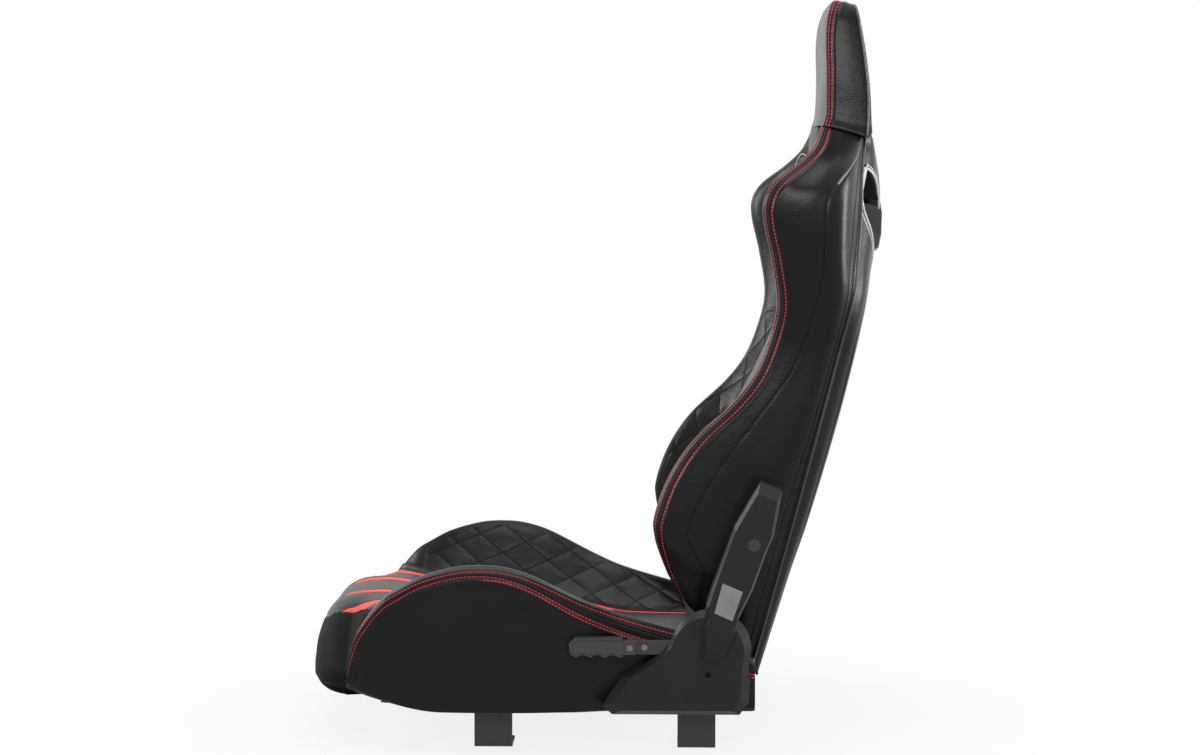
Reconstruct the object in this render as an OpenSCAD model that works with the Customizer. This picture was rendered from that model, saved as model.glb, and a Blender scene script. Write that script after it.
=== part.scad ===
// Reclining racing seat on four angled feet.
// X is across the seat (+X is the seat's own left), Y runs front (-Y) to rear (+Y), Z is up.
// The origin is the centre of the four foot holes, on the surface the feet stand on.

/* [Feet] */
// Distance between left and right foot holes
foot_pitch_x = 350; // [340:1:356]
// Distance between front and rear foot holes
foot_pitch_y = 268; // [250:1:280]
// Width of each foot along the seat
foot_w = 50; // [40:1:54]
// Thickness of the feet's steel
foot_t = 4; // [3:0.5:5]
// Radius of each foot hole
foot_hole_r = 4.25; // [3.25:0.25:5.25]
// Length of the foot's inward flange
foot_flange = 56; // [52:1:62]
// Height of the cushion's underside above the floor
base_z = 55; // [45:1:70]

/* [Base frame] */
// Outer side of the square of the rails and cross tubes
rail_size = 25; // [22:1:27]
// Wall of the rails and cross tubes
rail_wall = 2; // [1.5:0.5:3]
// Distance from the middle plane to a rail's outer face
rail_out = 201; // [196:1:203]
// Wire diameter of the seat springs
spring_wire = 3.5; // [3:0.5:4]
// Number of seat springs
spring_count = 4; // [3:1:4]

/* [Cushion] */
// Distance from the origin forward to the nose
nose_reach = 380; // [374:1:392]
// Height of the nose's crown above the cushion's underside
nose_h = 125; // [118:1:132]
// Height of the seat surface at its rear edge above the underside
seat_h = 70; // [66:1:74]
// Crown of the seat surface above its side seams
seat_crown = 7; // [3:1:10]
// Width of the seat surface between the side bolsters at the rear
seat_w = 310; // [296:1:324]
// Height of the side bolsters' crest above the underside
side_h = 190; // [180:1:200]
// Overall width of the cushion at its widest
cushion_w = 502; // [490:1:508]
// Width of the cushion between the recliner plates
hip_w = 471; // [466:1:471]

/* [Backrest] */
// Distance of the recline axis behind the origin
pivot_y = 153; // [151:1:155]
// Height of the recline axis above the cushion's underside
pivot_h = 89; // [88:1:92]
// Angle of the backrest behind upright at rest
rest_angle = 15; // [12:1:18]
// Height of the headrest's top above the recline axis, along the backrest
back_h = 858; // [850:1:880]
// Reach of the lumbar bolsters in front of the recline axis
lumbar_d = 115; // [108:1:120]
// Reach of the shoulder bolsters in front of the recline axis
shoulder_d = 85; // [78:1:92]
// Reach of the bolsters at the waist
waist_d = 31; // [28:1:36]
// Distance of the rear face behind the recline axis
rear_d = 94; // [92:1:97]
// Overall width at the shoulders
shoulder_w = 524; // [510:1:540]
// Overall width at the waist
waist_w = 456; // [452:1:464]
// Width of the headrest at its middle
head_w = 264; // [254:1:276]
// Crown of the back pad in front of its side seams
back_crown = 8; // [4:1:10]
// Outer diameter of the backrest's frame tubes
tube_d = 24; // [20:1:25]
// Diameter of the backrest's cross tubes
cross_d = 16; // [14:1:18]

/* [Recliner] */
// Thickness of the recliner plates and arms
plate_t = 4; // [3.5:0.5:4.5]
// Radius of the recliner discs
disc_r = 28; // [25:1:28.5]
// Thickness of each half of a recliner disc
disc_t = 6; // [5:0.5:6.5]
// Radius of the hub that the arm turns on
hub_r = 14; // [12:1:16]
// Radius of the sync rod between the recliners
rod_r = 6; // [5:0.5:6.5]
// Radius of the lower covers' round top
cover_top_r = 54; // [52:1:55]
// Wall of the moulded covers
cover_wall = 2.5; // [2:0.25:3]
// Room between the lever and the lower covers' outer wall
cover_room = 5.8; // [5:0.1:8]
// How far the arm covers stand out from the lower covers
arm_cover_proud = 14; // [12:0.5:17]
// Radius of the bolts through the plates and arms
bolt_r = 4; // [3:0.5:4.5]

/* [Lever] */
// Length of the lever's grip
grip_len = 70; // [60:1:80]
// Height of the lever's grip
grip_h = 25; // [22:1:28]
// Width of the lever's grip
grip_w = 20; // [16:1:22]
// Thickness of the lever arm
lever_t = 3; // [2.5:0.5:3.5]

/* [Hidden] */
fit = 0.3;          // gap between pieces that only touch
run = 0.05;         // radial clearance of a turning fit
lap = 1;            // overrun of a cutting solid past what it cuts
tube_fn = 48;

leather = [0.07, 0.07, 0.075];
steel = [0.16, 0.16, 0.17];
bright = [0.62, 0.62, 0.64];
plastic = [0.13, 0.13, 0.135];
grey = [0.34, 0.34, 0.35];
cloth = [0.10, 0.10, 0.10];

// ---- curves and lofts ----

function key(p, v, i = 0) = i >= len(p) - 2 || v < p[i + 1][0] ? i : key(p, v, i + 1);
function chord(p, i) = (p[i + 1][1] - p[i][1]) / (p[i + 1][0] - p[i][0]);
function slope(p, i) =
    i == 0 ? chord(p, 0) : i == len(p) - 1 ? chord(p, i - 1) :
    (p[i + 1][1] - p[i - 1][1]) / (p[i + 1][0] - p[i - 1][0]);

// Smooth curve through the keys [place, value] of p, read at place v
function curve(p, v) =
    let(i = key(p, v), h = p[i + 1][0] - p[i][0], t = min(1, max(0, (v - p[i][0]) / h)))
    (2 * t * t * t - 3 * t * t + 1) * p[i][1] + (t * t * t - 2 * t * t + t) * h * slope(p, i)
    + (3 * t * t - 2 * t * t * t) * p[i + 1][1] + (t * t * t - t * t) * h * slope(p, i + 1);

// Point k of n - 1 even steps from a to b
function between(a, b, k, n) = a + (b - a) * k / n;

// Closed solid through rings of points, which run anticlockwise seen against the stacking
module loft(rings) {
    n = len(rings[0]);
    m = len(rings);
    sides = [for (j = [0:m - 2], i = [0:n - 1]) each [
        [j * n + i, (j + 1) * n + i, (j + 1) * n + (i + 1) % n],
        [j * n + i, (j + 1) * n + (i + 1) % n, j * n + (i + 1) % n]]];
    ends = [[for (i = [0:n - 1]) i], [for (i = [n - 1:-1:0]) (m - 1) * n + i]];
    polyhedron([for (r = rings) each r], concat(sides, ends), convexity = 8);
}

// Anticlockwise outline p moved inwards by g
function inset(p, g) = [for (i = [0:len(p) - 1])
    let(b = p[i], u = unit(b - p[(i + len(p) - 1) % len(p)]), v = unit(p[(i + 1) % len(p)] - b))
    b + g * [-u[1] - v[1], u[0] + v[0]] / (1 + u * v)];
function unit(v) = v / norm(v);

// Straight bar of round section from a to b
module rod(a, b, r) {
    v = b - a;
    turn = atan2(norm([v[0], v[1]]), v[2]);
    translate(a) rotate([0, turn, atan2(v[1], v[0])]) cylinder(r = r, h = norm(v), $fn = tube_fn);
}

// Bent round bar along the points of path, with a slight bead round each bend
bead = 0.15;
module bent_bar(path, r) {
    for (i = [0:len(path) - 2]) rod(path[i], path[i + 1], r);
    for (i = [1:len(path) - 2]) translate(path[i]) sphere(r = r + bead, $fn = tube_fn);
}

// Cylinder across the seat from x0 to x1 at depth y and height z
module pin(x0, x1, y, z, r, fn = 40) {
    translate([x0, y, z]) rotate([0, 90, 0]) cylinder(r = r, h = x1 - x0, $fn = fn);
}

// Flat shape in the Y-Z plane, thickened across the seat from x0 to x1
module slab(x0, x1) {
    translate([x0, 0, 0]) rotate([90, 0, 90]) linear_extrude(height = x1 - x0) children();
}

// Children that are drawn for the left side, placed on side 1 (left) or -1 (right)
module side(s) {
    if (s > 0) children();
    else mirror([1, 0, 0]) children();
}

// Places pieces of the base: z is counted from the cushion's underside
module on_base() {
    translate([0, 0, base_z]) children();
}

// Places pieces of the backrest: z runs up along it from the recline axis, y to its rear
module on_back() {
    translate([0, pivot_y, base_z + pivot_h]) rotate([-rest_angle, 0, 0]) children();
}

// Places pieces about the recline axis without the backrest's lean
module on_pivot() {
    translate([0, pivot_y, base_z + pivot_h]) children();
}

// ---- places across the hip, from the recliner plate outwards ----

hip_x = hip_w / 2;
plate_x = hip_x + fit;                 // inner face of the recliner plate
disc_x = plate_x + plate_t;            // inner face of the fixed half-disc
ring_x = disc_x + disc_t + 0.1;        // inner face of the moving half-disc
arm_x = ring_x + disc_t;               // inner face of the arm plate
lever_x = arm_x + plate_t + 1.6;       // inner face of the lever arm
slot_x = lever_x + lever_t + 1.2;      // the cover is open inwards of this for arm and lever
cover_x = disc_x + 1;                  // inner edge of the lower cover
cover_out = slot_x + cover_room + cover_wall;
arm_cover_out = cover_out + arm_cover_proud;
grip_end = 38 - pivot_y;               // rear end of the grip, from the recline axis
grip_x = lever_x + lever_t / 2;        // middle of the grip
grip_side = grip_x - grip_w / 2;       // the grip's face towards the cushion
grip_front = pivot_y + grip_end - grip_len;

// ---- places of the base frame ----

nose_len = 55;                         // length of the nose ahead of the side bolsters
bolster_start = nose_len - nose_reach; // front end of the side bolsters
rail_low = 3;                          // underside of the rails above the cushion's underside
rail_mid = rail_low + rail_size / 2;
rail_top = rail_low + rail_size;
rail_end = 157;
front_tube_y = bolster_start + 42;     // front face of the front cross tube
rear_tube_y = 92;                      // front face of the rear cross tube
foot_y = [-foot_pitch_y / 2, foot_pitch_y / 2];
foot_x = rail_out + fit;               // inner face of a foot's upright
foot_bolt_y = [foot_y[0] - 14, foot_y[0] + 14, foot_y[1] - 16];
plate_bolt_y = [62, foot_y[1] + 8];    // bolts that hold the recliner plates to the rails
spacer_r = 8;
head_h = 1.3 * bolt_r;                 // height of a bolt's head

// ---- cushion ----

cushion_x = cushion_w / 2;
seat_x = seat_w / 2;
cushion_end = 210;                     // rear end of the side bolsters
back_gap_y = 146;                      // rear edge of the cushion between its rear corners
pad_end = back_gap_y + 5;
corner_x = 214;                        // inner face of the rear corners
crease_r = 38;                         // round hollow in front of the recline axis

under_h = rail_top + spring_wire + fit;           // underside of the foam over the springs
tunnel_w = foot_x + foot_t + head_h + 1;          // half-width of the hollow under the foam
nose_back = front_tube_y - 3;          // the nose hangs down in front of this

bolster_y = concat([for (d = [0, 7, 17, 30]) bolster_start + d], [nose_back, nose_back + 0.5],
    [for (d = [49, 70, 100, 130]) bolster_start + d],
    [-160, -130, -97, -64, -30, 5, 40, 90, 130, pad_end, 170, cushion_end]);

// Crest of the side bolster, its outer seam, half-width and underside, along Y
crest_key = [[bolster_start, 50], [bolster_start + 7, 80], [bolster_start + 17, 108],
    [bolster_start + 47, side_h - 44], [bolster_start + 70, side_h - 29],
    [bolster_start + 100, side_h - 14], [-180, side_h - 2], [-145, side_h], [-115, side_h - 3],
    [-80, side_h - 14], [-17, side_h - 45], [29, 126], [92, 107], [130, 97], [170, 84],
    [cushion_end, 68]];
width_key = [[bolster_start, cushion_x - 11], [bolster_start + 30, cushion_x - 5],
    [bolster_start + 100, cushion_x], [-90, cushion_x], [grip_front - 13, grip_side - 0.4],
    [grip_front + 12, grip_side - 3], [15, hip_x + 2], [40, hip_x],
    [cushion_end, hip_x]];
hem_key = [[bolster_start, 30], [bolster_start + 24, 21], [bolster_start + 51, 13],
    [bolster_start + 88, 4], [bolster_start + 125, 0], [cushion_end, 0]];
// Seat surface along Y at the seams, and half-width of the centre pad
surface_key = [[bolster_start, nose_h - 4], [bolster_start + 35, nose_h - 3],
    [bolster_start + 85, nose_h - 11], [-180, nose_h - 25], [-120, nose_h - 40],
    [-60, seat_h + 4], [0, seat_h - 2], [60, seat_h - 4], [cushion_end, seat_h - 4]];
pad_key = [[bolster_start, cushion_x - 20], [bolster_start + 25, seat_x + 52],
    [bolster_start + 60, seat_x + 28], [bolster_start + 100, seat_x + 14], [-150, seat_x + 6],
    [0, seat_x + 2], [cushion_end, seat_x]];

// Outline of the left bolster at y: seam, quilted inner face, crest, outer face, hem, tunnel
function bolster_ring(y) =
    let(xi = curve(pad_key, y), w = curve(width_key, y), top = curve(crest_key, y),
        z = min(curve(surface_key, y), top - 4), hem = curve(hem_key, y),
        xc = max(xi + 2, w - 26), xt = max(xi + 1, tunnel_w),
        under = y <= nose_back ? hem + 1 : under_h)
    [for (p = [[xi, under], [xi, z],
        [between(xi, xc, 1, 4), between(z, top, 0.7, 4)],
        [between(xi, xc, 2, 4), between(z, top, 1.9, 4)],
        [between(xi, xc, 3.2, 4), between(z, top, 3.5, 4)],
        [xc, top], [between(xc, w, 1, 2), top - 1.5], [w - 3, top - 7], [w, top - 15],
        [y < 0 ? w + 1 : w, between(hem, top, 1, 2)], [w, hem + 9], [w - 5, hem], [xt, hem],
        [xt, under]])
        [p[0], y, p[1]]];

// Space that the backrest's lower end sweeps between the cushion's rear corners
module back_sweep() {
    pin(-corner_x, corner_x, pivot_y, pivot_h, crease_r, 60);
    translate([-corner_x, back_gap_y, -lap]) cube([2 * corner_x, cushion_end, side_h]);
}

// What the base's frame and fasteners take out of the foam
module base_cuts() {
    for (y = plate_bolt_y) pin(tunnel_w - lap, hip_x + 3, y, rail_mid, spacer_r + fit);
    pin(0, hip_x + 3, pivot_y, pivot_h, rod_r + 3);
}

module cushion_bolster(s) {
    color(leather) on_base() side(s) difference() {
        loft([for (y = bolster_y) bolster_ring(y)]);
        back_sweep();
        base_cuts();
    }
}

nose_y = [for (d = [0, 3, 9, 19, 34, 50]) d - nose_reach];
pad_y = concat(nose_y, [for (y = bolster_y) if (y < pad_end) y], [pad_end]);

// Upper and lower outline of the nose and its half-width, ahead of the side bolsters
nose_mid = 46;
nose_top_key = [[-nose_reach, 74], [-nose_reach + 3, 88], [-nose_reach + 9, nose_h - 24],
    [-nose_reach + 19, nose_h - 11], [-nose_reach + 34, nose_h - 2],
    [bolster_start, nose_h + seat_crown - 4], [bolster_start + 2, nose_h + seat_crown - 4]];
nose_bot_key = [[-nose_reach, 40], [-nose_reach + 3, 36], [-nose_reach + 9, 30],
    [-nose_reach + 19, 24], [-nose_reach + 34, 19], [bolster_start, 16], [nose_back, 12]];
nose_x_key = [[-nose_reach, 120], [-nose_reach + 3, 150], [-nose_reach + 9, 176],
    [-nose_reach + 19, 200], [-nose_reach + 34, 219], [bolster_start, cushion_x - 20]];
// How squarely the pad's crown meets its sides
square_key = [[-nose_reach, 5], [bolster_start - 20, 5], [bolster_start + 45, 3], [cushion_end, 3]];

// Outline of the centre pad at y, from its left lower corner over the top to the right
function pad_ring(y) =
    let(nose = y < bolster_start, w = nose ? curve(nose_x_key, y) : curve(pad_key, y),
        bot = y <= nose_back ? curve(nose_bot_key, y) : under_h,
        top = nose ? curve(nose_top_key, y) : curve(surface_key, y) + seat_crown,
        edge = nose ? nose_mid : min(curve(surface_key, y), curve(crest_key, y) - 4),
        low = nose ? nose_mid - 12 : y <= nose_back ? curve(hem_key, y) + 1 : under_h + 1,
        power = curve(square_key, y))
    concat([for (u = [-1, -0.97, -0.8, -0.45, -0.15, 0.15, 0.45, 0.8, 0.97, 1])
        [u * w, y, top - (top - edge) * pow(abs(u), power)]],
        [[w, y, low], [0.93 * w, y, between(low, bot, 3, 4)], [0.8 * w, y, bot], [-0.8 * w, y, bot],
        [-0.93 * w, y, between(low, bot, 3, 4)], [-w, y, low]]);

module cushion_pad() {
    color(leather) on_base() difference() {
        loft([for (y = pad_y) pad_ring(y)]);
        back_sweep();
    }
}

// ---- base frame ----

module square_tube(len) {
    difference() {
        cube([rail_size, len, rail_size]);
        translate([rail_wall, -lap, rail_wall])
            cube([rail_size - 2 * rail_wall, len + 2 * lap, rail_size - 2 * rail_wall]);
    }
}

module seat_rail(s) {
    color(steel) on_base() side(s) difference() {
        translate([rail_out - rail_size, front_tube_y, rail_low])
            square_tube(rail_end - front_tube_y);
        for (y = concat(plate_bolt_y, foot_bolt_y))
            pin(rail_out - rail_wall - lap, rail_out + lap, y, rail_mid, bolt_r + fit);
    }
}

module cross_tube(y) {
    half = rail_out - rail_size;
    color(steel) on_base() translate([-half, y + rail_size, rail_low]) rotate([0, 0, -90])
        square_tube(2 * half);
}

// Zigzag wire of n runs a pitch apart, each 2 * reach long between the bends
module zigzag(n, pitch, reach, r) {
    for (i = [0:n - 1]) {
        x0 = i == 0 ? 0 : -reach;
        x1 = i == n - 1 ? 0 : reach;
        way = i % 2 == 0 ? 1 : -1;
        translate([0, i * pitch, 0]) {
            pin(way > 0 ? x0 : -x1, way > 0 ? x1 : -x0, 0, 0, r, 16);
            if (i < n - 1) translate([way * reach, pitch / 2, 0]) rotate([0, 0, -90 * way])
                rotate_extrude(angle = 180, $fn = 24) translate([pitch / 2, 0]) circle(r = r, $fn = 16);
        }
    }
}

// Sinuous springs laid over the cross tubes
spring_runs = 11;
spring_reach = 10;
module seat_springs() {
    y0 = front_tube_y + 8;
    pitch = (rear_tube_y + rail_size - 8 - y0) / (spring_runs - 1);
    room = 2 * (rail_out - rail_size - 34);
    color(bright) on_base() for (k = [0:spring_count - 1])
        translate([room * (k / (spring_count - 1) - 0.5), y0, rail_top + spring_wire / 2])
            zigzag(spring_runs, pitch, spring_reach, spring_wire / 2);
}

module dust_cover() {
    inset = 4;
    half = rail_out - inset;
    color(cloth) on_base() translate([-half, front_tube_y + inset, rail_low - fit - 1])
        cube([2 * half, rear_tube_y + rail_size - front_tube_y - 2 * inset, 1]);
}

// ---- feet ----

foot_top = base_z + rail_top - 2;

module foot(s, y) {
    bolts = [for (b = concat(foot_bolt_y, [plate_bolt_y[1]])) if (abs(b - y) < foot_w / 2) b];
    bend = foot_t + 1;
    color(steel) side(s) difference() {
        union() {
            translate([foot_x + foot_t - foot_flange, y - foot_w / 2, 0])
                cube([foot_flange - bend, foot_w, foot_t]);
            translate([foot_x + foot_t - bend, y + foot_w / 2, bend]) rotate([90, 0, 0])
                linear_extrude(height = foot_w) intersection() {
                    difference() {
                        circle(r = bend, $fn = 48);
                        circle(r = bend - foot_t, $fn = 48);
                    }
                    translate([0, -bend]) square(bend);
                }
            translate([foot_x, y - foot_w / 2, bend]) cube([foot_t, foot_w, foot_top - bend]);
        }
        translate([foot_pitch_x / 2, y, -lap])
            cylinder(r = foot_hole_r, h = foot_t + 2 * lap, $fn = 48);
        for (b = bolts) pin(foot_x - lap, foot_x + foot_t + lap, b, base_z + rail_mid, bolt_r + fit);
    }
}

// Hexagon bolt along X: the head's inner face is at x, the shank runs inward
module bolt(x, y, z, shank, r = bolt_r) {
    pin(x - shank, x + lap, y, z, r);
    pin(x, x + head_h, y, z, 1.8 * r, 6);
}

module foot_bolts() {
    color(bright) on_base() for (s = [-1, 1]) side(s) for (y = foot_bolt_y)
        bolt(foot_x + foot_t, y, rail_mid, foot_t + rail_wall + 6);
}

// ---- recliner, base side ----

// Side outline of the recliner plate, about the recline axis
module plate_shape() {
    low = rail_low - pivot_h + 1;
    polygon([[-108, low], [22, low], [34, low + 16], [36, -8], [-28, 24], [-62, -22],
        [-108, low + 20]]);
    circle(r = disc_r + 8, $fn = 72);
}

module recliner_plate(s) {
    color(steel) on_pivot() side(s) difference() {
        slab(plate_x, plate_x + plate_t) plate_shape();
        pin(plate_x - lap, plate_x + plate_t + lap, 0, 0, rod_r + run);
        for (y = plate_bolt_y)
            pin(plate_x - lap, plate_x + plate_t + lap, y - pivot_y, rail_mid - pivot_h, bolt_r + fit);
        pin(plate_x - lap, plate_x + plate_t + lap, cover_screw[0], cover_screw[1], 3 + fit);
    }
}

module plate_spacers() {
    color(bright) on_base() for (s = [-1, 1]) side(s) for (y = plate_bolt_y) difference() {
        pin(y > foot_y[1] - foot_w / 2 ? foot_x + foot_t : rail_out, plate_x, y, rail_mid, spacer_r);
        pin(rail_out - lap, plate_x + lap, y, rail_mid, bolt_r + fit);
    }
}

module plate_bolts() {
    color(bright) on_base() for (s = [-1, 1]) side(s) for (y = plate_bolt_y)
        bolt(plate_x + plate_t, y, rail_mid, plate_x + plate_t - rail_out + rail_wall + 6);
}

// Fixed half of the recliner disc, with the hub that the arm turns on
module recliner_disc(s) {
    color(bright) on_pivot() side(s) difference() {
        union() {
            pin(disc_x, disc_x + disc_t, 0, 0, disc_r, 72);
            pin(disc_x, arm_x + plate_t + 1, 0, 0, hub_r, 60);
        }
        pin(disc_x - lap, arm_x + plate_t + 1 + lap, 0, 0, rod_r + run);
    }
}

// Outline of the lower cover about the recline axis: it rises in a hollow sweep to a round top
module cover_shape() {
    low = -pivot_h + 1;
    polygon([[-129, low], [36, low], [48, low + 16], [cover_top_r - 2, -12], [0, 0],
        [-44, 31], [-55, 9], [-66, -6], [-82, -16], [-98, -27], [-116, -38], [-142, low + 11]]);
    circle(r = cover_top_r, $fn = 90);
}

// Solid under the lower cover's skin, taken in by g; its edge slopes towards the outer face
module cover_solid(x0, x1, g) {
    mid = [-34, -38];
    k = 1 - g / 60;
    rise = min(11, (x1 - x0) - 2);
    translate([x0, 0, 0]) rotate([90, 0, 90]) translate([mid[0], mid[1], 0]) {
        linear_extrude(height = x1 - x0 - rise) scale(k) translate(-mid) cover_shape();
        translate([0, 0, x1 - x0 - rise]) linear_extrude(height = rise, scale = 0.86) scale(k)
            translate(-mid) cover_shape();
    }
}

// The screw and the clip posts reach from the cover's face to the recliner plate
cover_screw = [-5, -34];
cover_posts = [[-70, -62], [18, -66]];
module lower_cover(s) {
    color(plastic) on_pivot() side(s) difference() {
        union() {
            difference() {
                cover_solid(cover_x, cover_out, 0);
                cover_solid(cover_x - lap, cover_out - cover_wall, cover_wall);
                slab(cover_x - lap, slot_x) arm_and_lever_way();
            }
            pin(disc_x, cover_out - cover_wall + 0.1, cover_screw[0], cover_screw[1], 5);
            for (p = cover_posts) pin(disc_x, cover_out - cover_wall + 0.1, p[0], p[1], 4);
        }
        pin(disc_x - lap, cover_out + lap, cover_screw[0], cover_screw[1], 3);
        pin(cover_out - 3, cover_out + lap, cover_screw[0], cover_screw[1], 4);
    }
}

// Where the lower cover stays open to the cushion: above the arm's and the lever's sweep
module arm_and_lever_way() {
    polygon([[-150, -24], [-20, -24], [0, -40], [70, -40], [70, 80], [-150, 80]]);
}

module cover_screws() {
    color(steel) on_pivot() for (s = [-1, 1]) side(s) {
        pin(plate_x, cover_out - 3, cover_screw[0], cover_screw[1], 3 - run);
        pin(cover_out - 3, cover_out - 1, cover_screw[0], cover_screw[1], 4 - run);
    }
}

// ---- backrest foam and skin ----

foot_end = 10;                         // lowest point of the backrest over the recline axis
neck_h = 690;                          // seam between shoulders and headrest
slant_h = 130;                         // the lower end's slope fades out by this height
lumbar_h = 150;
waist_h = 405;
shoulder_h = neck_h - 115;
shoulder_x = shoulder_w / 2;
waist_x = waist_w / 2;
head_x = head_w / 2;

// Height at the share f of the way from waist to shoulder, and from neck to the headrest's top
function mid(f) = waist_h + f * (shoulder_h - waist_h);
function head_at(f) = neck_h + f * (back_h - neck_h);
function on_head(p) = [for (k = p) [head_at(k[0]), k[1]]];

back_s = [0, 22, 48, 80, 115, 150, 190, 235, 280, 325, 365, waist_h, mid(0.24), mid(0.44), mid(0.63),
    mid(0.82), shoulder_h, shoulder_h + 25, shoulder_h + 50, shoulder_h + 73, shoulder_h + 93, neck_h];
head_s = [for (f = [0, 0.09, 0.26, 0.46, 0.66, 0.82, 0.91, 0.97, 1]) head_at(f)];

reach_key = [[0, 56], [22, 79], [64, 100], [110, lumbar_d - 4], [lumbar_h, lumbar_d],
    [200, lumbar_d - 6], [250, lumbar_d - 24], [307, waist_d + 25], [350, waist_d + 7],
    [waist_h, waist_d], [mid(0.265), waist_d + 3], [mid(0.59), waist_d + 26],
    [mid(0.85), shoulder_d - 5], [shoulder_h, shoulder_d + 1], [shoulder_h + 25, shoulder_d - 6],
    [shoulder_h + 60, shoulder_d - 32], [shoulder_h + 85, 39], [neck_h, 34]];
half_key = [[0, 200], [48, 212], [95, 227], [140, hip_x - 1], [235, hip_x - 1],
    [300, waist_x + 4], [waist_h, waist_x], [mid(0.265), waist_x + 11],
    [mid(0.68), shoulder_x - 7], [shoulder_h, shoulder_x], [shoulder_h + 35, shoulder_x - 7],
    [shoulder_h + 65, shoulder_x - 36], [shoulder_h + 93, shoulder_x - 86], [neck_h, head_x + 9]];
centre_key = [[0, 26], [80, 40], [170, 48], [260, 40], [350, 20], [mid(0.15), 8], [mid(0.68), 4],
    [shoulder_h + 5, 8], [shoulder_h + 60, 20], [shoulder_h + 93, 30], [neck_h, 33]];
inner_key = [[0, 158], [slant_h, 158], [235, 158], [350, 152], [mid(0.56), 150],
    [shoulder_h + 25, 146], [shoulder_h + 75, 120], [neck_h, 96]];
split_key = [[-60, 62], [mid(0.44), 60], [mid(0.78), 52], [shoulder_h + 15, 42],
    [shoulder_h + 65, 32], [neck_h, 26]];
rear_x_key = [[0, 186], [60, 203], [280, 214], [waist_h - 5, 210], [mid(0.38), 218],
    [mid(0.78), 206], [shoulder_h + 15, 192], [shoulder_h + 65, 162], [shoulder_h + 93, 140],
    [neck_h, 122]];
rear_key = [[-60, rear_d - 18], [0, rear_d - 14], [110, rear_d - 8], [180, rear_d - 3],
    [320, rear_d], [mid(0.32), rear_d - 3], [mid(0.68), rear_d - 7], [shoulder_h + 8, rear_d - 11],
    [shoulder_h + 67, rear_d - 27], [neck_h, 46]];
flat_x_key = [[0, 158], [waist_h - 5, 166], [mid(0.44), 150], [mid(0.78), 112],
    [shoulder_h + 15, 95], [neck_h, 88]];

// The lower end slopes down to the rear
function lower(y, s) = (foot_end - 0.6 * y) * max(0, 1 - s / slant_h);
function at(x, y, s) = [x, y, s + lower(y, s)];

// Outline of the left bolster at height s: seam, inner face, crest, outer face, rear corner
function wing_ring(s) =
    let(xi = curve(inner_key, s), w = curve(half_key, s), reach = curve(reach_key, s),
        seam = curve(centre_key, s) - 2, xc = max(xi + 6, w - 30), y2 = curve(split_key, s),
        xr = curve(rear_x_key, s))
    [for (p = [[xi, -seam], [between(xi, xc, 1, 4), -between(seam, reach, 0.8, 4)],
        [between(xi, xc, 2, 4), -between(seam, reach, 2, 4)],
        [between(xi, xc, 3.2, 4), -between(seam, reach, 3.6, 4)],
        [xc, -reach], [between(xc, w, 1, 2), 2 - reach], [w - 3, 11 - reach], [w, 26 - reach],
        [w, between(-reach, y2, 2, 4)], [between(w, xr, 2, 5), between(-reach, y2, 3, 4)],
        [xr, y2], [xi, y2]])
        at(p[0], p[1], s)];

// Outline of the centre pad at height s, between the bolsters
pad_rear = 38;
pad_rear_key = [[-60, pad_rear], [mid(0.56), pad_rear], [mid(0.91), pad_rear + 4],
    [neck_h, pad_rear + 4]];
function back_pad_ring(s) =
    let(xi = curve(inner_key, s), seam = curve(centre_key, s) - 2,
        y2 = min(curve(pad_rear_key, s), curve(split_key, s)))
    concat([for (u = [-1, -0.75, -0.4, 0, 0.4, 0.75, 1])
        low_at(u * xi, -seam - back_crown * (1 - u * u), s)],
        [low_at(xi, y2, s), low_at(-xi, y2, s)]);

// The centre pad hangs down to the cushion in front of the sync rod
function low_at(x, y, s) = [x, y, s - (8 + 0.12 * y) * max(0, 1 - s / slant_h)];

// Headrest: a flat face with rounded edges on a wedge that thins towards the top
head_front_key = on_head([[0, 33], [0.09, 32], [0.26, 40], [0.46, 49], [0.66, 59], [0.82, 64],
    [0.91, 63], [0.97, 57], [1, 50]]);
head_rear_key = on_head([[0, 26], [0.13, 22], [0.35, 12], [0.6, -4], [0.82, -20], [1, -34]]);
head_half_key = on_head([[0, head_x + 9], [0.09, head_x + 4], [0.4, head_x], [0.82, head_x - 8],
    [0.91, head_x - 13], [0.97, head_x - 24], [1, head_x - 36]]);
function head_ring(s) =
    let(w = curve(head_half_key, s), f = curve(head_front_key, s), y2 = curve(head_rear_key, s))
    [for (p = [[-w, y2], [-w - 1, between(-f, y2, 2, 4)], [-w, 10 - f], [-w + 5, 3 - f],
        [-w + 16, -f], [-w / 2, -f - 1], [0, -f - 1], [w / 2, -f - 1], [w - 16, -f],
        [w - 5, 3 - f], [w, 10 - f], [w + 1, between(-f, y2, 2, 4)], [w, y2]])
        [p[0], p[1], s]];

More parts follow.
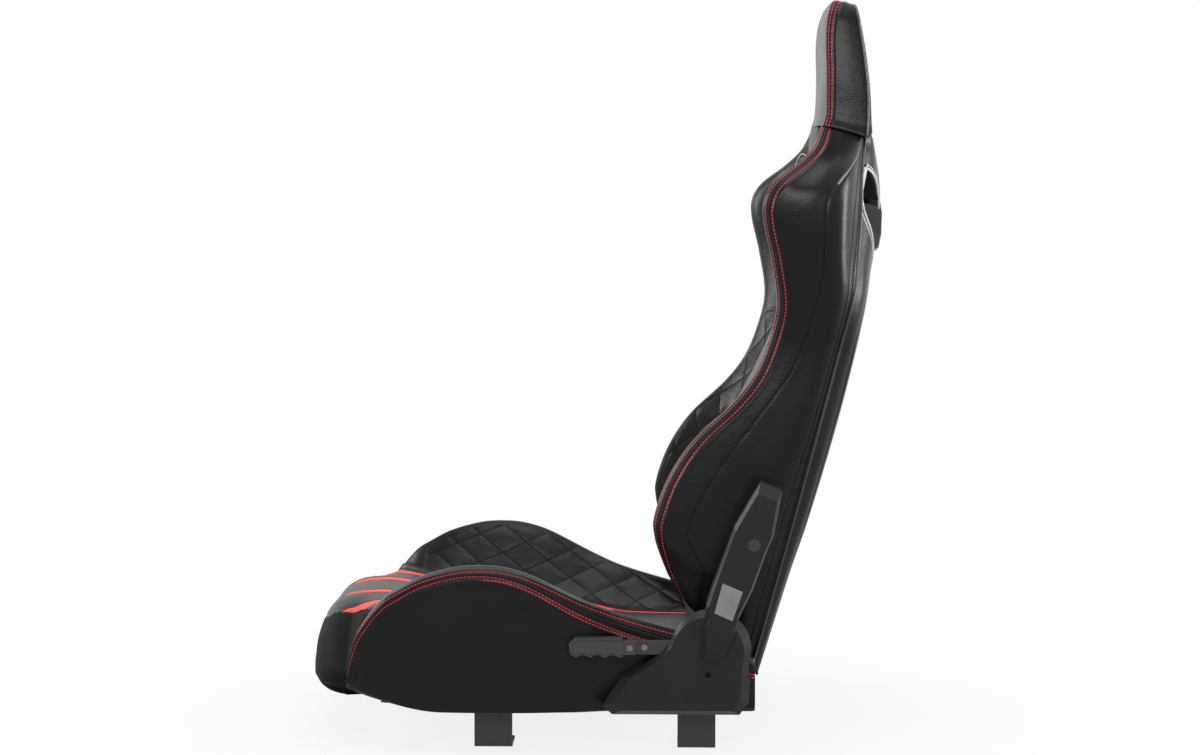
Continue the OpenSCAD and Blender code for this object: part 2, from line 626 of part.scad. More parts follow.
// Rear panel over the whole backrest
panel_split_key = concat(split_key, [for (i = [1:len(head_rear_key) - 1]) head_rear_key[i]]);
panel_rear_key = concat(rear_key, on_head([[0.13, 35], [0.35, 22], [0.6, 6], [0.82, -11],
    [1, -26]]));
panel_x_key = concat(rear_x_key, on_head([[0.09, head_x + 2], [0.4, head_x - 2],
    [0.82, head_x - 10], [0.91, head_x - 15], [0.97, head_x - 26], [1, head_x - 38]]));
panel_flat_key = concat(flat_x_key, on_head([[0.4, 84], [1, 70]]));
panel_s = concat(back_s, [for (i = [1:len(head_s) - 1]) head_s[i]]);
rear_crown = 7;
function panel_ring(s) =
    let(x = curve(panel_x_key, s), y1 = curve(panel_split_key, s), y2 = curve(panel_rear_key, s),
        f = curve(panel_flat_key, s))
    [for (p = [[-x, y1], [x, y1], [between(x, f, 1, 3), between(y1, y2, 1.6, 3)],
        [f, y2 - rear_crown], [0, y2], [-f, y2 - rear_crown],
        [-between(x, f, 1, 3), between(y1, y2, 1.6, 3)]])
        at(p[0], p[1], s)];

// Harness hole: a rounded four-sided hole through shoulder and rear panel
hole_high = neck_h - 38;
hole_low = hole_high - 107;
hole_in = 108;
hole_out = 182;
function hole_points() = [[hole_in + 36, hole_high], [hole_in + 52, hole_high - 4],
    [hole_out, hole_low + 62], [hole_out + 1, hole_low + 46], [hole_out - 5, hole_low + 30],
    [hole_out - 24, hole_low + 6], [hole_out - 38, hole_low], [hole_in + 12, hole_low + 8],
    [hole_in, hole_low + 26], [hole_in, hole_low + 66]];

module hole_shape(grow) {
    offset(r = grow, $fn = 24) polygon(hole_points());
}

module harness_cut() {
    translate([0, 150, 0]) rotate([90, 0, 0]) linear_extrude(height = 300) hole_shape(0);
}

// What the frame tubes and arm bolts take out of the foam
module back_cuts() {
    bent_bar(tube_path, tube_d / 2 + fit);
    for (z = arm_bolt_z) pin(tube_x, hip_x + 3, arm_bolt_y, z, spacer_r + fit);
    for (z = cross_z) {
        pin(-lap, tube_x, cross_y, z, cross_d / 2 + fit);
        tab(z, fit);
    }
}

module back_bolster(s) {
    color(leather) on_back() side(s) difference() {
        loft([for (h = back_s) wing_ring(h)]);
        back_cuts();
        harness_cut();
    }
}

module back_pad() {
    color(leather) on_back() difference() {
        loft([for (h = back_s) back_pad_ring(h)]);
        pin(-tube_x, tube_x, 0, 0, rod_r + 3);
        for (s = [-1, 1]) side(s) {
            bent_bar(tube_path, tube_d / 2 + fit);
            harness_cut();
        }
    }
}

module headrest() {
    color(leather) on_back() difference() {
        loft([for (h = head_s) head_ring(h)]);
        for (s = [-1, 1]) side(s) bent_bar(tube_path, tube_d / 2 + fit);
    }
}

module back_panel() {
    color(leather) on_back() difference() {
        loft([for (h = panel_s) panel_ring(h)]);
        for (s = [-1, 1]) side(s) harness_cut();
    }
}

// ---- backrest frame ----

tube_x = 206;                          // side tubes' distance from the middle plane
tube_y = 14;
neck_x = 66;
tube_path = [[tube_x, tube_y, 26], [tube_x, tube_y, hole_low - 105], [neck_x, 12, hole_low - 17],
    [neck_x, 2, neck_h - 30], [neck_x, -16, neck_h + 100]];
cross_z = [70, 400];
cross_y = pad_rear + fit + spring_wire + cross_d / 2;
arm_bolt_z = [92, 186];
arm_bolt_y = 11;

module back_tube(s) {
    color(steel) on_back() side(s) difference() {
        bent_bar(tube_path, tube_d / 2);
        for (z = arm_bolt_z) pin(tube_x, tube_x + tube_d, arm_bolt_y, z, bolt_r + fit);
    }
}

// Tab that joins a cross tube to the side tube
module tab(z, g) {
    y0 = tube_y + tube_d / 2 + fit;
    translate([tube_x - 8 - g, y0 - g, z - 9 - g]) cube([8 + 2 * g, cross_y - y0 + g, 18 + 2 * g]);
}

module back_cross_tube(z) {
    color(steel) on_back() union() {
        pin(-tube_x, tube_x, cross_y, z, cross_d / 2);
        for (s = [-1, 1]) side(s) tab(z, 0);
    }
}

// Sinuous springs between the back pad and the cross tubes
back_runs = 9;
back_spring_x = 90;                    // distance between the springs
module back_springs() {
    y = cross_y - cross_d / 2 - spring_wire / 2;
    pitch = (cross_z[1] - cross_z[0]) / (back_runs - 1);
    color(bright) on_back() for (k = [-1:1]) translate([k * back_spring_x, y, cross_z[0]])
        rotate([90, 0, 0]) zigzag(back_runs, pitch, spring_reach, spring_wire / 2);
}

// ---- recliner, backrest side ----

// Side outline of the arm plate along the backrest
module arm_shape() {
    circle(r = disc_r, $fn = 72);
    polygon([[-disc_r * 0.8, disc_r * 0.6], [disc_r * 0.8, -disc_r * 0.6], [18, 57], [25, 110],
        [24, 204], [2, 204], [-8, 110]]);
}

module arm_plate(s) {
    color(steel) on_back() side(s) difference() {
        slab(arm_x, arm_x + plate_t) arm_shape();
        pin(arm_x - lap, arm_x + plate_t + lap, 0, 0, hub_r + run, 60);
        for (z = arm_bolt_z)
            pin(arm_x - lap, arm_x + plate_t + lap, arm_bolt_y, z, bolt_r + fit);
        pin(arm_x - lap, arm_x + plate_t + lap, cap_pos[0], cap_pos[1], 3 + fit);
    }
}

module recliner_ring(s) {
    color(bright) on_back() side(s) difference() {
        pin(ring_x, ring_x + disc_t, 0, 0, disc_r - 1, 72);
        pin(ring_x - lap, ring_x + disc_t + lap, 0, 0, hub_r + run, 60);
    }
}

module arm_spacers() {
    color(bright) on_back() for (s = [-1, 1]) side(s) for (z = arm_bolt_z) difference() {
        pin(tube_x, arm_x, arm_bolt_y, z, spacer_r);
        pin(tube_x - lap, arm_x + lap, arm_bolt_y, z, bolt_r + fit);
        translate([tube_x, tube_y, 0])
            cylinder(r = tube_d / 2 + run, h = cross_z[1], $fn = tube_fn);
    }
}

module arm_bolts() {
    color(bright) on_back() for (s = [-1, 1]) side(s) for (z = arm_bolt_z)
        bolt(arm_x + plate_t, arm_bolt_y, z, arm_x + plate_t - tube_x - tube_d / 2 + 6);
}

// Outline of the arm cover along the backrest: slim at the top, pointed at the bottom
arm_cover_line = [[3, 225], [-14, 163], [-18, 115], [-21, 76], [-22, 49], [-16, 32], [-18, 18],
    [-10, -15], [5, -17], [19, -2], [23, 29], [22, 46], [30, 88], [35, 148], [38, 163], [33, 222]];
arm_cover_mid = [8, 105];
arm_cover_rise = 7;                    // depth of the sloping edge

// Solid under the arm cover's skin, taken in by g
module arm_cover_solid(x0, x1, g) {
    line = inset([for (p = arm_cover_line) p - arm_cover_mid], g);
    translate([0, arm_cover_mid[0], arm_cover_mid[1]]) {
        slab(x0, x1 - arm_cover_rise) polygon(line);
        translate([x1 - arm_cover_rise, 0, 0]) rotate([90, 0, 90])
            linear_extrude(height = arm_cover_rise, scale = 0.88) polygon(line);
    }
}

cap_pos = [16, 146];                   // screw under the round cap, along the backrest
cap_r = 8;
module arm_cover(s) {
    color(plastic) on_back() side(s) difference() {
        union() {
            difference() {
                arm_cover_solid(hip_x + 2, arm_cover_out, 0);
                arm_cover_solid(hip_x + 2 - lap, arm_cover_out - cover_wall, cover_wall);
            }
            pin(arm_x + plate_t, arm_cover_out - cover_wall + 0.1, cap_pos[0], cap_pos[1], cap_r + 2);
        }
        pin(hip_x, cover_out + 1.5, 0, 0, cover_top_r + 3, 90);
        slab(arm_cover_out - 0.8, arm_cover_out + lap) inlay_shape(fit);
        pin(arm_cover_out - 1.5, arm_cover_out + lap, cap_pos[0], cap_pos[1], cap_r + run);
        pin(arm_x, arm_cover_out, cap_pos[0], cap_pos[1], 3);
    }
}

module arm_cover_screws() {
    color(steel) on_back() for (s = [-1, 1]) side(s)
        pin(arm_x, arm_cover_out - 1.5, cap_pos[0], cap_pos[1], 3 - run);
}

module inlay_shape(g) {
    polygon(inset([[-10, 48], [15, 44], [18, 84], [-10, 88]], -g));
}

module inlay(s) {
    color(grey) on_back() side(s) slab(arm_cover_out - 0.8, arm_cover_out + 0.3) inlay_shape(0);
}

module screw_cap(s) {
    color(plastic) on_back() side(s)
        pin(arm_cover_out - 1.5, arm_cover_out + 0.6, cap_pos[0], cap_pos[1], cap_r);
}

// Flat spiral on the hub's outer end, hooked to a peg of the arm plate
module return_spring(s) {
    turns = 3;
    r0 = hub_r + 2;
    pitch = 4;
    steps = 24 * turns;
    t = 1.6;
    line = [for (i = [0:steps]) (r0 + pitch * i / 24) * [cos(15 * i), sin(15 * i)]];
    back = [for (i = [steps:-1:0]) (r0 + t + pitch * i / 24) * [cos(15 * i), sin(15 * i)]];
    color(bright) on_back() side(s) slab(arm_x + plate_t, arm_x + plate_t + 2.5)
        polygon(concat(line, back));
}

// ---- harness-hole trim ----

module harness_trim(s) {
    color(plastic) on_back() side(s) difference() {
        translate([0, 150, 0]) rotate([90, 0, 0]) linear_extrude(height = 300) difference() {
            hole_shape(-fit);
            hole_shape(-3);
        }
        trim_ends();
    }
}

// Cuts the trim off just proud of the shoulder in front and of the rear panel behind
module trim_ends() {
    proud = 1.5;
    heights = [for (k = [0:4]) hole_low - 25 + 40 * k];
    inner = [for (s = heights)
        let(f = curve(flat_x_key, s), x = curve(rear_x_key, s),
            y1 = curve(split_key, s), y2 = curve(rear_key, s))
        [[60, y2 + proud, s], [f, y2 + proud, s], [x, y1 + proud, s], [260, y1 - 30, s],
            [260, 200, s], [60, 200, s]]];
    loft(inner);
    front = [for (s = heights)
        let(xi = curve(inner_key, s), w = curve(half_key, s), reach = curve(reach_key, s),
            seam = curve(centre_key, s) - 2, xc = max(xi + 6, w - 30))
        [[60, -200, s], [260, -200, s], [260, -reach - proud, s], [xc, -reach - proud, s],
            [between(xi, xc, 2, 4), -between(seam, reach, 2, 4) - proud, s],
            [xi, -seam - proud, s], [60, -seam - back_crown - proud, s]]];
    loft(front);
}

// ---- lever ----

tongue_h = 12;                         // height of the arm's end inside the grip
screw_r = 2;
screw_y = [grip_end + 9, grip_end + 28];

module lever_arm() {
    color(steel) on_pivot() difference() {
        slab(lever_x, lever_x + lever_t) {
            circle(r = 13, $fn = 60);
            polygon([[0, -10], [0, 10], [grip_end + 18, 9], [grip_end + 18, tongue_h / 2],
                [grip_end - 30, tongue_h / 2], [grip_end - 30, -tongue_h / 2],
                [grip_end + 18, -tongue_h / 2], [grip_end + 18, -9]]);
        }
        pin(lever_x - lap, lever_x + lever_t + lap, 0, 0, rod_r + run);
        for (y = screw_y) pin(lever_x - lap, lever_x + lever_t + lap, y, 0, screw_r);
    }
}

// Grip with a bevelled top edge and finger grooves along its lower edge
module lever_grip() {
    x0 = grip_side;
    bevel = 4;
    color(plastic) on_pivot() difference() {
        union() {
            slab(x0, x0 + grip_w - bevel) grip_shape(0);
            slab(x0 + grip_w - bevel - 0.01, x0 + grip_w) grip_shape(bevel);
            slab(x0 + 3, x0 + grip_w - 3) translate([grip_end - lap, -9]) square([18, 18]);
        }
        slab(lever_x - fit, lever_x + lever_t + fit)
            translate([grip_end - 31, -tongue_h / 2 - fit]) square([60, tongue_h + 2 * fit]);
        pin(lever_x, x0 + grip_w, screw_y[0], 0, screw_r);
    }
}

module grip_shape(in) {
    z1 = grip_h / 2;
    difference() {
        polygon([[grip_end, -z1 + in], [grip_end, z1 - in], [grip_end - grip_len + 8 + in, z1 - in],
            [grip_end - grip_len + in, z1 - 8 - in], [grip_end - grip_len + 2 + in, -z1 + 4 + in],
            [grip_end - grip_len + 8 + in, -z1 + in]]);
        for (k = [0:2]) translate([grip_end - 14 - k * 19, -z1 - 7 + in]) circle(r = 10, $fn = 40);
    }
}

// One screw holds the grip's block, the other is on the bare arm
module lever_screws() {
    heads = [grip_x + grip_w / 2 - 3, lever_x + lever_t];
    color(bright) on_pivot() for (k = [0, 1]) {
        pin(lever_x, heads[k], screw_y[k], 0, screw_r - run);
        pin(heads[k], heads[k] + 1.5, screw_y[k], 0, 2 * screw_r);
    }
}

module sync_rod() {
    end = lever_x + lever_t + 2;
    color(bright) on_pivot() pin(-arm_x - plate_t - 4, end, 0, 0, rod_r);
}

cushion_pad();
cushion_bolster(1);  // cushion_bolster_left
cushion_bolster(-1);  // cushion_bolster_right
seat_rail(1);  // seat_rail_left
seat_rail(-1);  // seat_rail_right
cross_tube(front_tube_y);  // front_cross_tube
cross_tube(rear_tube_y);  // rear_cross_tube
seat_springs();
dust_cover();
foot(1, foot_y[0]);  // foot_front_left
foot(-1, foot_y[0]);  // foot_front_right
foot(1, foot_y[1]);  // foot_rear_left
foot(-1, foot_y[1]);  // foot_rear_right
foot_bolts();
recliner_plate(1);  // recliner_plate_left
recliner_plate(-1);  // recliner_plate_right
plate_spacers();
plate_bolts();
recliner_disc(1);  // recliner_disc_left
recliner_disc(-1);  // recliner_disc_right
lower_cover(1);  // lower_cover_left
lower_cover(-1);  // lower_cover_right
cover_screws();
back_pad();
back_bolster(1);  // back_bolster_left
back_bolster(-1);  // back_bolster_right
headrest();
back_panel();
back_tube(1);  // back_tube_left
back_tube(-1);  // back_tube_right
back_cross_tube(cross_z[0]);  // lower_back_tube
back_cross_tube(cross_z[1]);  // upper_back_tube
back_springs();
arm_plate(1);  // arm_plate_left
arm_plate(-1);  // arm_plate_right
recliner_ring(1);  // recliner_ring_left
recliner_ring(-1);  // recliner_ring_right
arm_spacers();
arm_bolts();
return_spring(-1);  // return_spring_right
arm_cover(1);  // arm_cover_left
arm_cover(-1);  // arm_cover_right
arm_cover_screws();
inlay(1);  // inlay_left
inlay(-1);  // inlay_right
screw_cap(1);  // screw_cap_left
screw_cap(-1);  // screw_cap_right
harness_trim(1);  // harness_trim_left
harness_trim(-1);  // harness_trim_right
lever_arm();
lever_grip();
lever_screws();
sync_rod();
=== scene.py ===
"""Looks of the reclining racing seat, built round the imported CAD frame.

The soft pieces follow curves like those of the CAD solids, in millimetres: the cushion in (x, y,
z above the cushion's underside), the backrest in (x, y to its rear, s up along it from the recline
axis). place_base() and place_back() bring them into the row frame, in metres.
"""

import math

import bmesh
import bpy
import numpy as np
from mathutils import Matrix, Vector
from mathutils.bvhtree import BVHTree


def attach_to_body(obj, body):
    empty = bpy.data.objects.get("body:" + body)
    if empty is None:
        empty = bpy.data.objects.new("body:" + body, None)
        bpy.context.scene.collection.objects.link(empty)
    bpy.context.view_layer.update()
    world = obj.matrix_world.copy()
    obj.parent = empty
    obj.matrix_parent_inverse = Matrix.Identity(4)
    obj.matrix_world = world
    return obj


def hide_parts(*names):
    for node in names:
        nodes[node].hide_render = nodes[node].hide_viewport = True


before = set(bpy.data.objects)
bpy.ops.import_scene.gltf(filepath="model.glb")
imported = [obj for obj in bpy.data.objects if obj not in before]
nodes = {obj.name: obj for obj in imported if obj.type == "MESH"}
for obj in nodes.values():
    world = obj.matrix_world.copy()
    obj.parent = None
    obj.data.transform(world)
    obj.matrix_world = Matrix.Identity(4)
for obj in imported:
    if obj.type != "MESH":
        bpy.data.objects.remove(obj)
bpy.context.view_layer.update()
MM = 0.001

# ---- driving sizes, as in the CAD source (mm) ----

BASE_Z = 55
PIVOT_Y = 153
PIVOT_H = 89
LEAN = math.radians(15)
NOSE_REACH, NOSE_H, SEAT_H, SEAT_CROWN, SIDE_H = 380, 125, 70, 7, 190
CUSHION_X, HIP_X, SEAT_X = 251, 235.5, 155
BACK_H, LUMBAR_D, SHOULDER_D, WAIST_D, REAR_D = 858, 115, 85, 31, 94
SHOULDER_X, WAIST_X, HEAD_X, BACK_CROWN = 262, 228, 132, 8
START = 55 - NOSE_REACH
CUSHION_END = 210
GAP_Y = 146
NOSE_BACK = -286
UNDER_H = 31.8
TUNNEL_X = 211.5
FOOT_END, NECK_H, SLANT_H = 10, 690, 130
REAR_CROWN = 7


# ---- curves and sections ----


def curve(keys, v):
    """Smooth curve through the keys (place, value), read at the places v."""
    k = np.asarray(keys, float)
    x, y = k[:, 0], k[:, 1]
    v = np.asarray(v, float)
    m = np.empty(len(x))
    m[0] = (y[1] - y[0]) / (x[1] - x[0])
    m[-1] = (y[-1] - y[-2]) / (x[-1] - x[-2])
    m[1:-1] = (y[2:] - y[:-2]) / (x[2:] - x[:-2])
    i = np.clip(np.searchsorted(x, v, side="right") - 1, 0, len(x) - 2)
    h = x[i + 1] - x[i]
    t = np.clip((v - x[i]) / h, 0, 1)
    return (
        (2 * t**3 - 3 * t**2 + 1) * y[i]
        + (t**3 - 2 * t**2 + t) * h * m[i]
        + (3 * t**2 - 2 * t**3) * y[i + 1]
        + (t**3 - t**2) * h * m[i + 1]
    )


def between(a, b, k, n):
    return a + (b - a) * k / n


def smooth(t):
    t = np.clip(t, 0, 1)
    return t * t * (3 - 2 * t)


def dent(off):
    """Depth of a pressed line at the distance off from its middle, in widths."""
    return np.exp(-(off**2))


def spread(counts, corners):
    """Weights that turn a ring's control points into samples, counts[k] of them from point k to
    the next, smooth except at the corners. Also returns each sample's place along the points."""
    n = len(counts)
    rows, places = [], []
    for k in range(n):
        for j in range(counts[k]):
            t = j / counts[k]
            w = np.zeros(n)
            a, b, p, q = k, (k + 1) % n, (k - 1) % n, (k + 2) % n
            w[a] += 2 * t**3 - 3 * t**2 + 1
            w[b] += 3 * t**2 - 2 * t**3
            ha, hb = t**3 - 2 * t**2 + t, t**3 - t**2
            if a in corners:
                w[b] += ha
                w[a] -= ha
            else:
                w[b] += ha / 2
                w[p] -= ha / 2
            if b in corners:
                w[b] += hb
                w[a] -= hb
            else:
                w[q] += hb / 2
                w[a] -= hb / 2
            rows.append(w)
            places.append(k + t)
    return np.array(rows), np.array(places)


class Skin:
    """A closed surface of rings. points has the shape (rings, samples, 3), in local mm."""

    def __init__(self, stations, ring, counts, corners):
        self.v = np.asarray(stations, float)
        weights, self.t = spread(counts, corners)
        controls = ring(self.v)
        self.points = np.einsum("nk,rkc->rnc", weights, controls)
        self.rest = self.points.copy()
        self.height = np.zeros(self.points.shape[:2])
        step = np.linalg.norm(np.diff(self.points, axis=1, append=self.points[:, :1]), axis=2)
        self.arc = np.cumsum(step, axis=1) - step
        across = np.cross(self.turn(self.points), self.rise(self.points))
        size = np.linalg.norm(across, axis=2, keepdims=True)
        self.normal = across / np.maximum(size, 1e-9)
        middle = self.points.mean(axis=1, keepdims=True)
        if np.sum(self.normal * (self.points - middle)) < 0:
            self.normal = -self.normal

    @staticmethod
    def turn(p):
        return np.roll(p, -1, axis=1) - np.roll(p, 1, axis=1)

    @staticmethod
    def rise(p):
        return np.gradient(p, axis=0)

    def arc_at(self, t):
        """Distance along each ring at the place t of the control points."""
        places = np.broadcast_to(t, len(self.v))
        return np.array([np.interp(q, self.t, a) for q, a in zip(places, self.arc)])

    def groove(self, arc, depth, width, where=1.0):
        """Presses a line into the surface at the distances arc along the rings."""
        self.height -= depth * dent((self.arc - arc[:, None]) / width) * where

    def cross_groove(self, station, depth, width, where=1.0):
        """Presses a line into the surface round the ring at a station."""
        self.height -= depth * dent((self.v - station) / width)[:, None] * where

    def soften(self, end, depth=1.6, width=2.4, where=1.0):
        """Rounds the first (0) or last (-1) end over, as leather does where it meets a seam."""
        self.cross_groove(self.v[end], depth, width, where)

    def settle(self):
        self.points = self.rest + self.normal * self.height[:, :, None]
        across = np.cross(self.turn(self.points), self.rise(self.points))
        across /= np.maximum(np.linalg.norm(across, axis=2, keepdims=True), 1e-9)
        self.normal = across * np.sign(np.sum(across * self.normal, axis=2, keepdims=True))

    def line(self, arc, lift=0.0):
        """Points and normals along the line at the distances arc along the rings."""
        out, up = np.empty((len(self.v), 3)), np.empty((len(self.v), 3))
        for c in range(3):
            for r in range(len(self.v)):
                out[r, c] = np.interp(arc[r], self.arc[r], self.points[r, :, c])
                up[r, c] = np.interp(arc[r], self.arc[r], self.normal[r, :, c])
        up /= np.maximum(np.linalg.norm(up, axis=1, keepdims=True), 1e-9)
        return out + up * lift, up


# ---- from local millimetres to the row frame ----


def place_base(p):
    p = np.asarray(p, float)
    return (p + [0, 0, BASE_Z]) * MM


def place_back(p):
    p = np.asarray(p, float)
    c, s = math.cos(LEAN), math.sin(LEAN)
    x, y, z = p[..., 0], p[..., 1], p[..., 2]
    moved = np.stack([x, PIVOT_Y + y * c + z * s, BASE_Z + PIVOT_H - y * s + z * c], axis=-1)
    return moved * MM


def mesh_object(name, verts, faces, material):
    """A smooth-shaded mesh, its vertices in the row frame, in metres."""
    mesh = bpy.data.meshes.new(name)
    mesh.from_pydata([tuple(v) for v in verts], [], faces)
    mesh.update()
    mesh.polygons.foreach_set("use_smooth", [True] * len(mesh.polygons))
    obj = bpy.data.objects.new(name, mesh)
    bpy.context.scene.collection.objects.link(obj)
    obj.data.materials.append(material)
    return obj


def skin_object(name, skin, place, material, mirror=False):
    """The closed mesh of a skin, with both ends capped round their middle."""
    p = skin.points.copy()
    if mirror:
        p[:, :, 0] *= -1
    rows, n = p.shape[:2]
    verts = list(place(p.reshape(-1, 3)))
    faces = []
    for r in range(rows - 1):
        a, b = r * n, (r + 1) * n
        for j in range(n):
            k = (j + 1) % n
            faces.append((a + j, a + k, b + k, b + j))
    for r, flip in ((0, True), (rows - 1, False)):
        verts.append(place(p[r].mean(axis=0)))
        c = len(verts) - 1
        for j in range(n):
            k = (j + 1) % n
            faces.append((c, r * n + k, r * n + j) if flip else (c, r * n + j, r * n + k))
    if mirror:
        faces = [tuple(reversed(f)) for f in faces]
    obj = mesh_object(name, verts, faces, material)
    ends = 2 * n
    obj.data.polygons.foreach_set("use_smooth", [True] * (len(faces) - ends) + [False] * ends)
    return obj


STITCH_SIDES = 5
STITCH_PROFILE = ((-0.5, 0.35), (-0.32, 1.0), (0.32, 1.0), (0.5, 0.35))


def thread(name, runs, place, material, pitch=5.0, length=4.0, radius=0.8, mirror=False):
    """Stitches along runs of (points, normals): short rounded bars laid on the leather."""
    verts, faces = [], []
    sides = STITCH_SIDES
    for points, ups in runs:
        step = np.linalg.norm(np.diff(points, axis=0), axis=1)
        along = np.concatenate([[0], np.cumsum(step)])
        if along[-1] < pitch:
            continue
        for d in np.arange(pitch / 2, along[-1], pitch):
            at = [np.array([np.interp(q, along, points[:, c]) for c in range(3)])
                  for q in (d - length / 2, d, d + length / 2)]
            up = np.array([np.interp(d, along, ups[:, c]) for c in range(3)])
            axis = at[2] - at[0]
            axis /= max(np.linalg.norm(axis), 1e-9)
            side = np.cross(axis, up)
            side /= max(np.linalg.norm(side), 1e-9)
            first = len(verts)
            for f, w in STITCH_PROFILE:
                for i in range(sides):
                    a = 2 * math.pi * i / sides
                    q = at[1] + axis * f * length
                    q = q + side * math.cos(a) * radius * w + up * math.sin(a) * radius * w
                    verts.append(q)
            for r in range(len(STITCH_PROFILE) - 1):
                for i in range(sides):
                    k = (i + 1) % sides
                    a, b = first + r * sides, first + (r + 1) * sides
                    faces.append((a + i, a + k, b + k, b + i))
            last = first + (len(STITCH_PROFILE) - 1) * sides
            faces.append(tuple(range(first + sides - 1, first - 1, -1)))
            faces.append(tuple(range(last, last + sides)))
    p = np.array(verts)
    if mirror:
        p[:, 0] *= -1
        faces = [tuple(reversed(f)) for f in faces]
    return mesh_object(name, place(p), faces, material)


CORD_STEPS = 2


def tube(name, points, radius, place, material, mirror=False, closed=False):
    """A round cord of local mm along points, such as piping."""
    p = np.asarray(points, float)
    if mirror:
        p = p * [-1, 1, 1]
    p = place(p)
    data = bpy.data.curves.new(name, "CURVE")
    data.dimensions = "3D"
    data.bevel_depth = radius * MM
    data.bevel_resolution = CORD_STEPS
    data.use_fill_caps = True
    spline = data.splines.new("POLY")
    spline.points.add(len(p) - 1)
    spline.points.foreach_set("co", np.c_[p, np.ones(len(p))].ravel())
    spline.use_cyclic_u = closed
    obj = bpy.data.objects.new(name, data)
    bpy.context.scene.collection.objects.link(obj)
    graph = bpy.context.evaluated_depsgraph_get()
    mesh = bpy.data.meshes.new_from_object(obj.evaluated_get(graph))
    bpy.data.objects.remove(obj)
    mesh.polygons.foreach_set("use_smooth", [True] * len(mesh.polygons))
    obj = bpy.data.objects.new(name, mesh)
    bpy.context.scene.collection.objects.link(obj)
    obj.data.materials.append(material)
    return obj


# ---- materials ----


RAMP_FROM, RAMP_TO = 0.3, 0.7


class Nodes:
    """Short hand for a material's node tree."""

    def __init__(self, name):
        self.material = bpy.data.materials.new(name)
        self.material.use_nodes = True
        self.tree = self.material.node_tree
        self.shader = self.tree.nodes["Principled BSDF"]
        self.where = self.add("ShaderNodeTexCoord").outputs["Object"]

    def add(self, kind, **inputs):
        node = self.tree.nodes.new(kind)
        for key, value in inputs.items():
            node.inputs[key.replace("_", " ")].default_value = value
        return node

    def link(self, a, b):
        self.tree.links.new(a, b)

    def noise(self, scale, detail=3.0, rough=0.55):
        node = self.add("ShaderNodeTexNoise", Scale=scale, Detail=detail, Roughness=rough)
        self.link(self.where, node.inputs["Vector"])
        return node.outputs["Fac"]

    def span(self, value, low, high):
        node = self.add("ShaderNodeMapRange")
        node.inputs["To Min"].default_value = low
        node.inputs["To Max"].default_value = high
        self.link(value, node.inputs["Value"])
        return node.outputs["Result"]

    def colours(self, value, a, b):
        ramp = self.add("ShaderNodeValToRGB")
        stops = ((RAMP_FROM, a), (RAMP_TO, b))
        for element, (position, colour) in zip(ramp.color_ramp.elements, stops):
            element.position = position
            element.color = (*colour, 1)
        self.link(value, ramp.inputs["Fac"])
        self.link(ramp.outputs["Color"], self.shader.inputs["Base Color"])

    def bump(self, height, strength, distance, after=None):
        node = self.add("ShaderNodeBump", Strength=strength, Distance=distance)
        self.link(height, node.inputs["Height"])
        if after is not None:
            self.link(after, node.inputs["Normal"])
        self.link(node.outputs["Normal"], self.shader.inputs["Normal"])
        return node.outputs["Normal"]


GRAIN_SCALE, PATCH_SCALE, CREASE_SCALE, WAVE_SCALE = 620.0, 14.0, 150.0, 28.0
SHEEN_ROUGH = 0.35


def leather(name, dark, light, rough, sheen=0.0, specular=0.5):
    n = Nodes(name)
    cells = n.add("ShaderNodeTexVoronoi", Scale=GRAIN_SCALE)
    n.link(n.where, cells.inputs["Vector"])
    patches = n.noise(PATCH_SCALE, 4.0)
    n.colours(patches, dark, light)
    n.link(n.span(patches, *rough), n.shader.inputs["Roughness"])
    grain = n.bump(cells.outputs["Distance"], 0.35, 0.0003)
    creases = n.bump(n.noise(CREASE_SCALE, 5.0, 0.6), 0.22, 0.0012, grain)
    n.bump(n.noise(WAVE_SCALE), 0.16, 0.004, creases)
    n.shader.inputs["Sheen Weight"].default_value = sheen
    n.shader.inputs["Sheen Roughness"].default_value = SHEEN_ROUGH
    n.shader.inputs["Specular IOR Level"].default_value = specular
    return n.material


def moulded(name, dark, light, rough, grain=900.0, strength=0.25, specular=0.5):
    n = Nodes(name)
    n.colours(n.noise(22.0), dark, light)
    n.link(n.span(n.noise(60.0), rough - 0.05, rough + 0.06), n.shader.inputs["Roughness"])
    n.bump(n.noise(grain, 2.0), strength, 0.0005)
    n.shader.inputs["Specular IOR Level"].default_value = specular
    return n.material


def metal(name, colour, rough, metallic=0.0, grain=500.0, strength=0.12):
    n = Nodes(name)
    n.colours(n.noise(40.0), [c * 0.85 for c in colour], colour)
    n.link(n.span(n.noise(90.0), rough - 0.06, rough + 0.06), n.shader.inputs["Roughness"])
    n.bump(n.noise(grain), strength, 0.0004)
    n.shader.inputs["Metallic"].default_value = metallic
    return n.material


def woven(name, dark, light):
    n = Nodes(name)
    waves = []
    for axis in ("X", "Y"):
        wave = n.add("ShaderNodeTexWave", Scale=260.0, Distortion=0.3)
        wave.bands_direction = axis
        n.link(n.where, wave.inputs["Vector"])
        waves.append(wave.outputs["Fac"])
    cross = n.add("ShaderNodeMath")
    cross.operation = "MAXIMUM"
    n.link(waves[0], cross.inputs[0])
    n.link(waves[1], cross.inputs[1])
    n.colours(cross.outputs["Value"], dark, light)
    n.shader.inputs["Roughness"].default_value = 0.85
    n.bump(cross.outputs["Value"], 0.4, 0.0005)
    return n.material


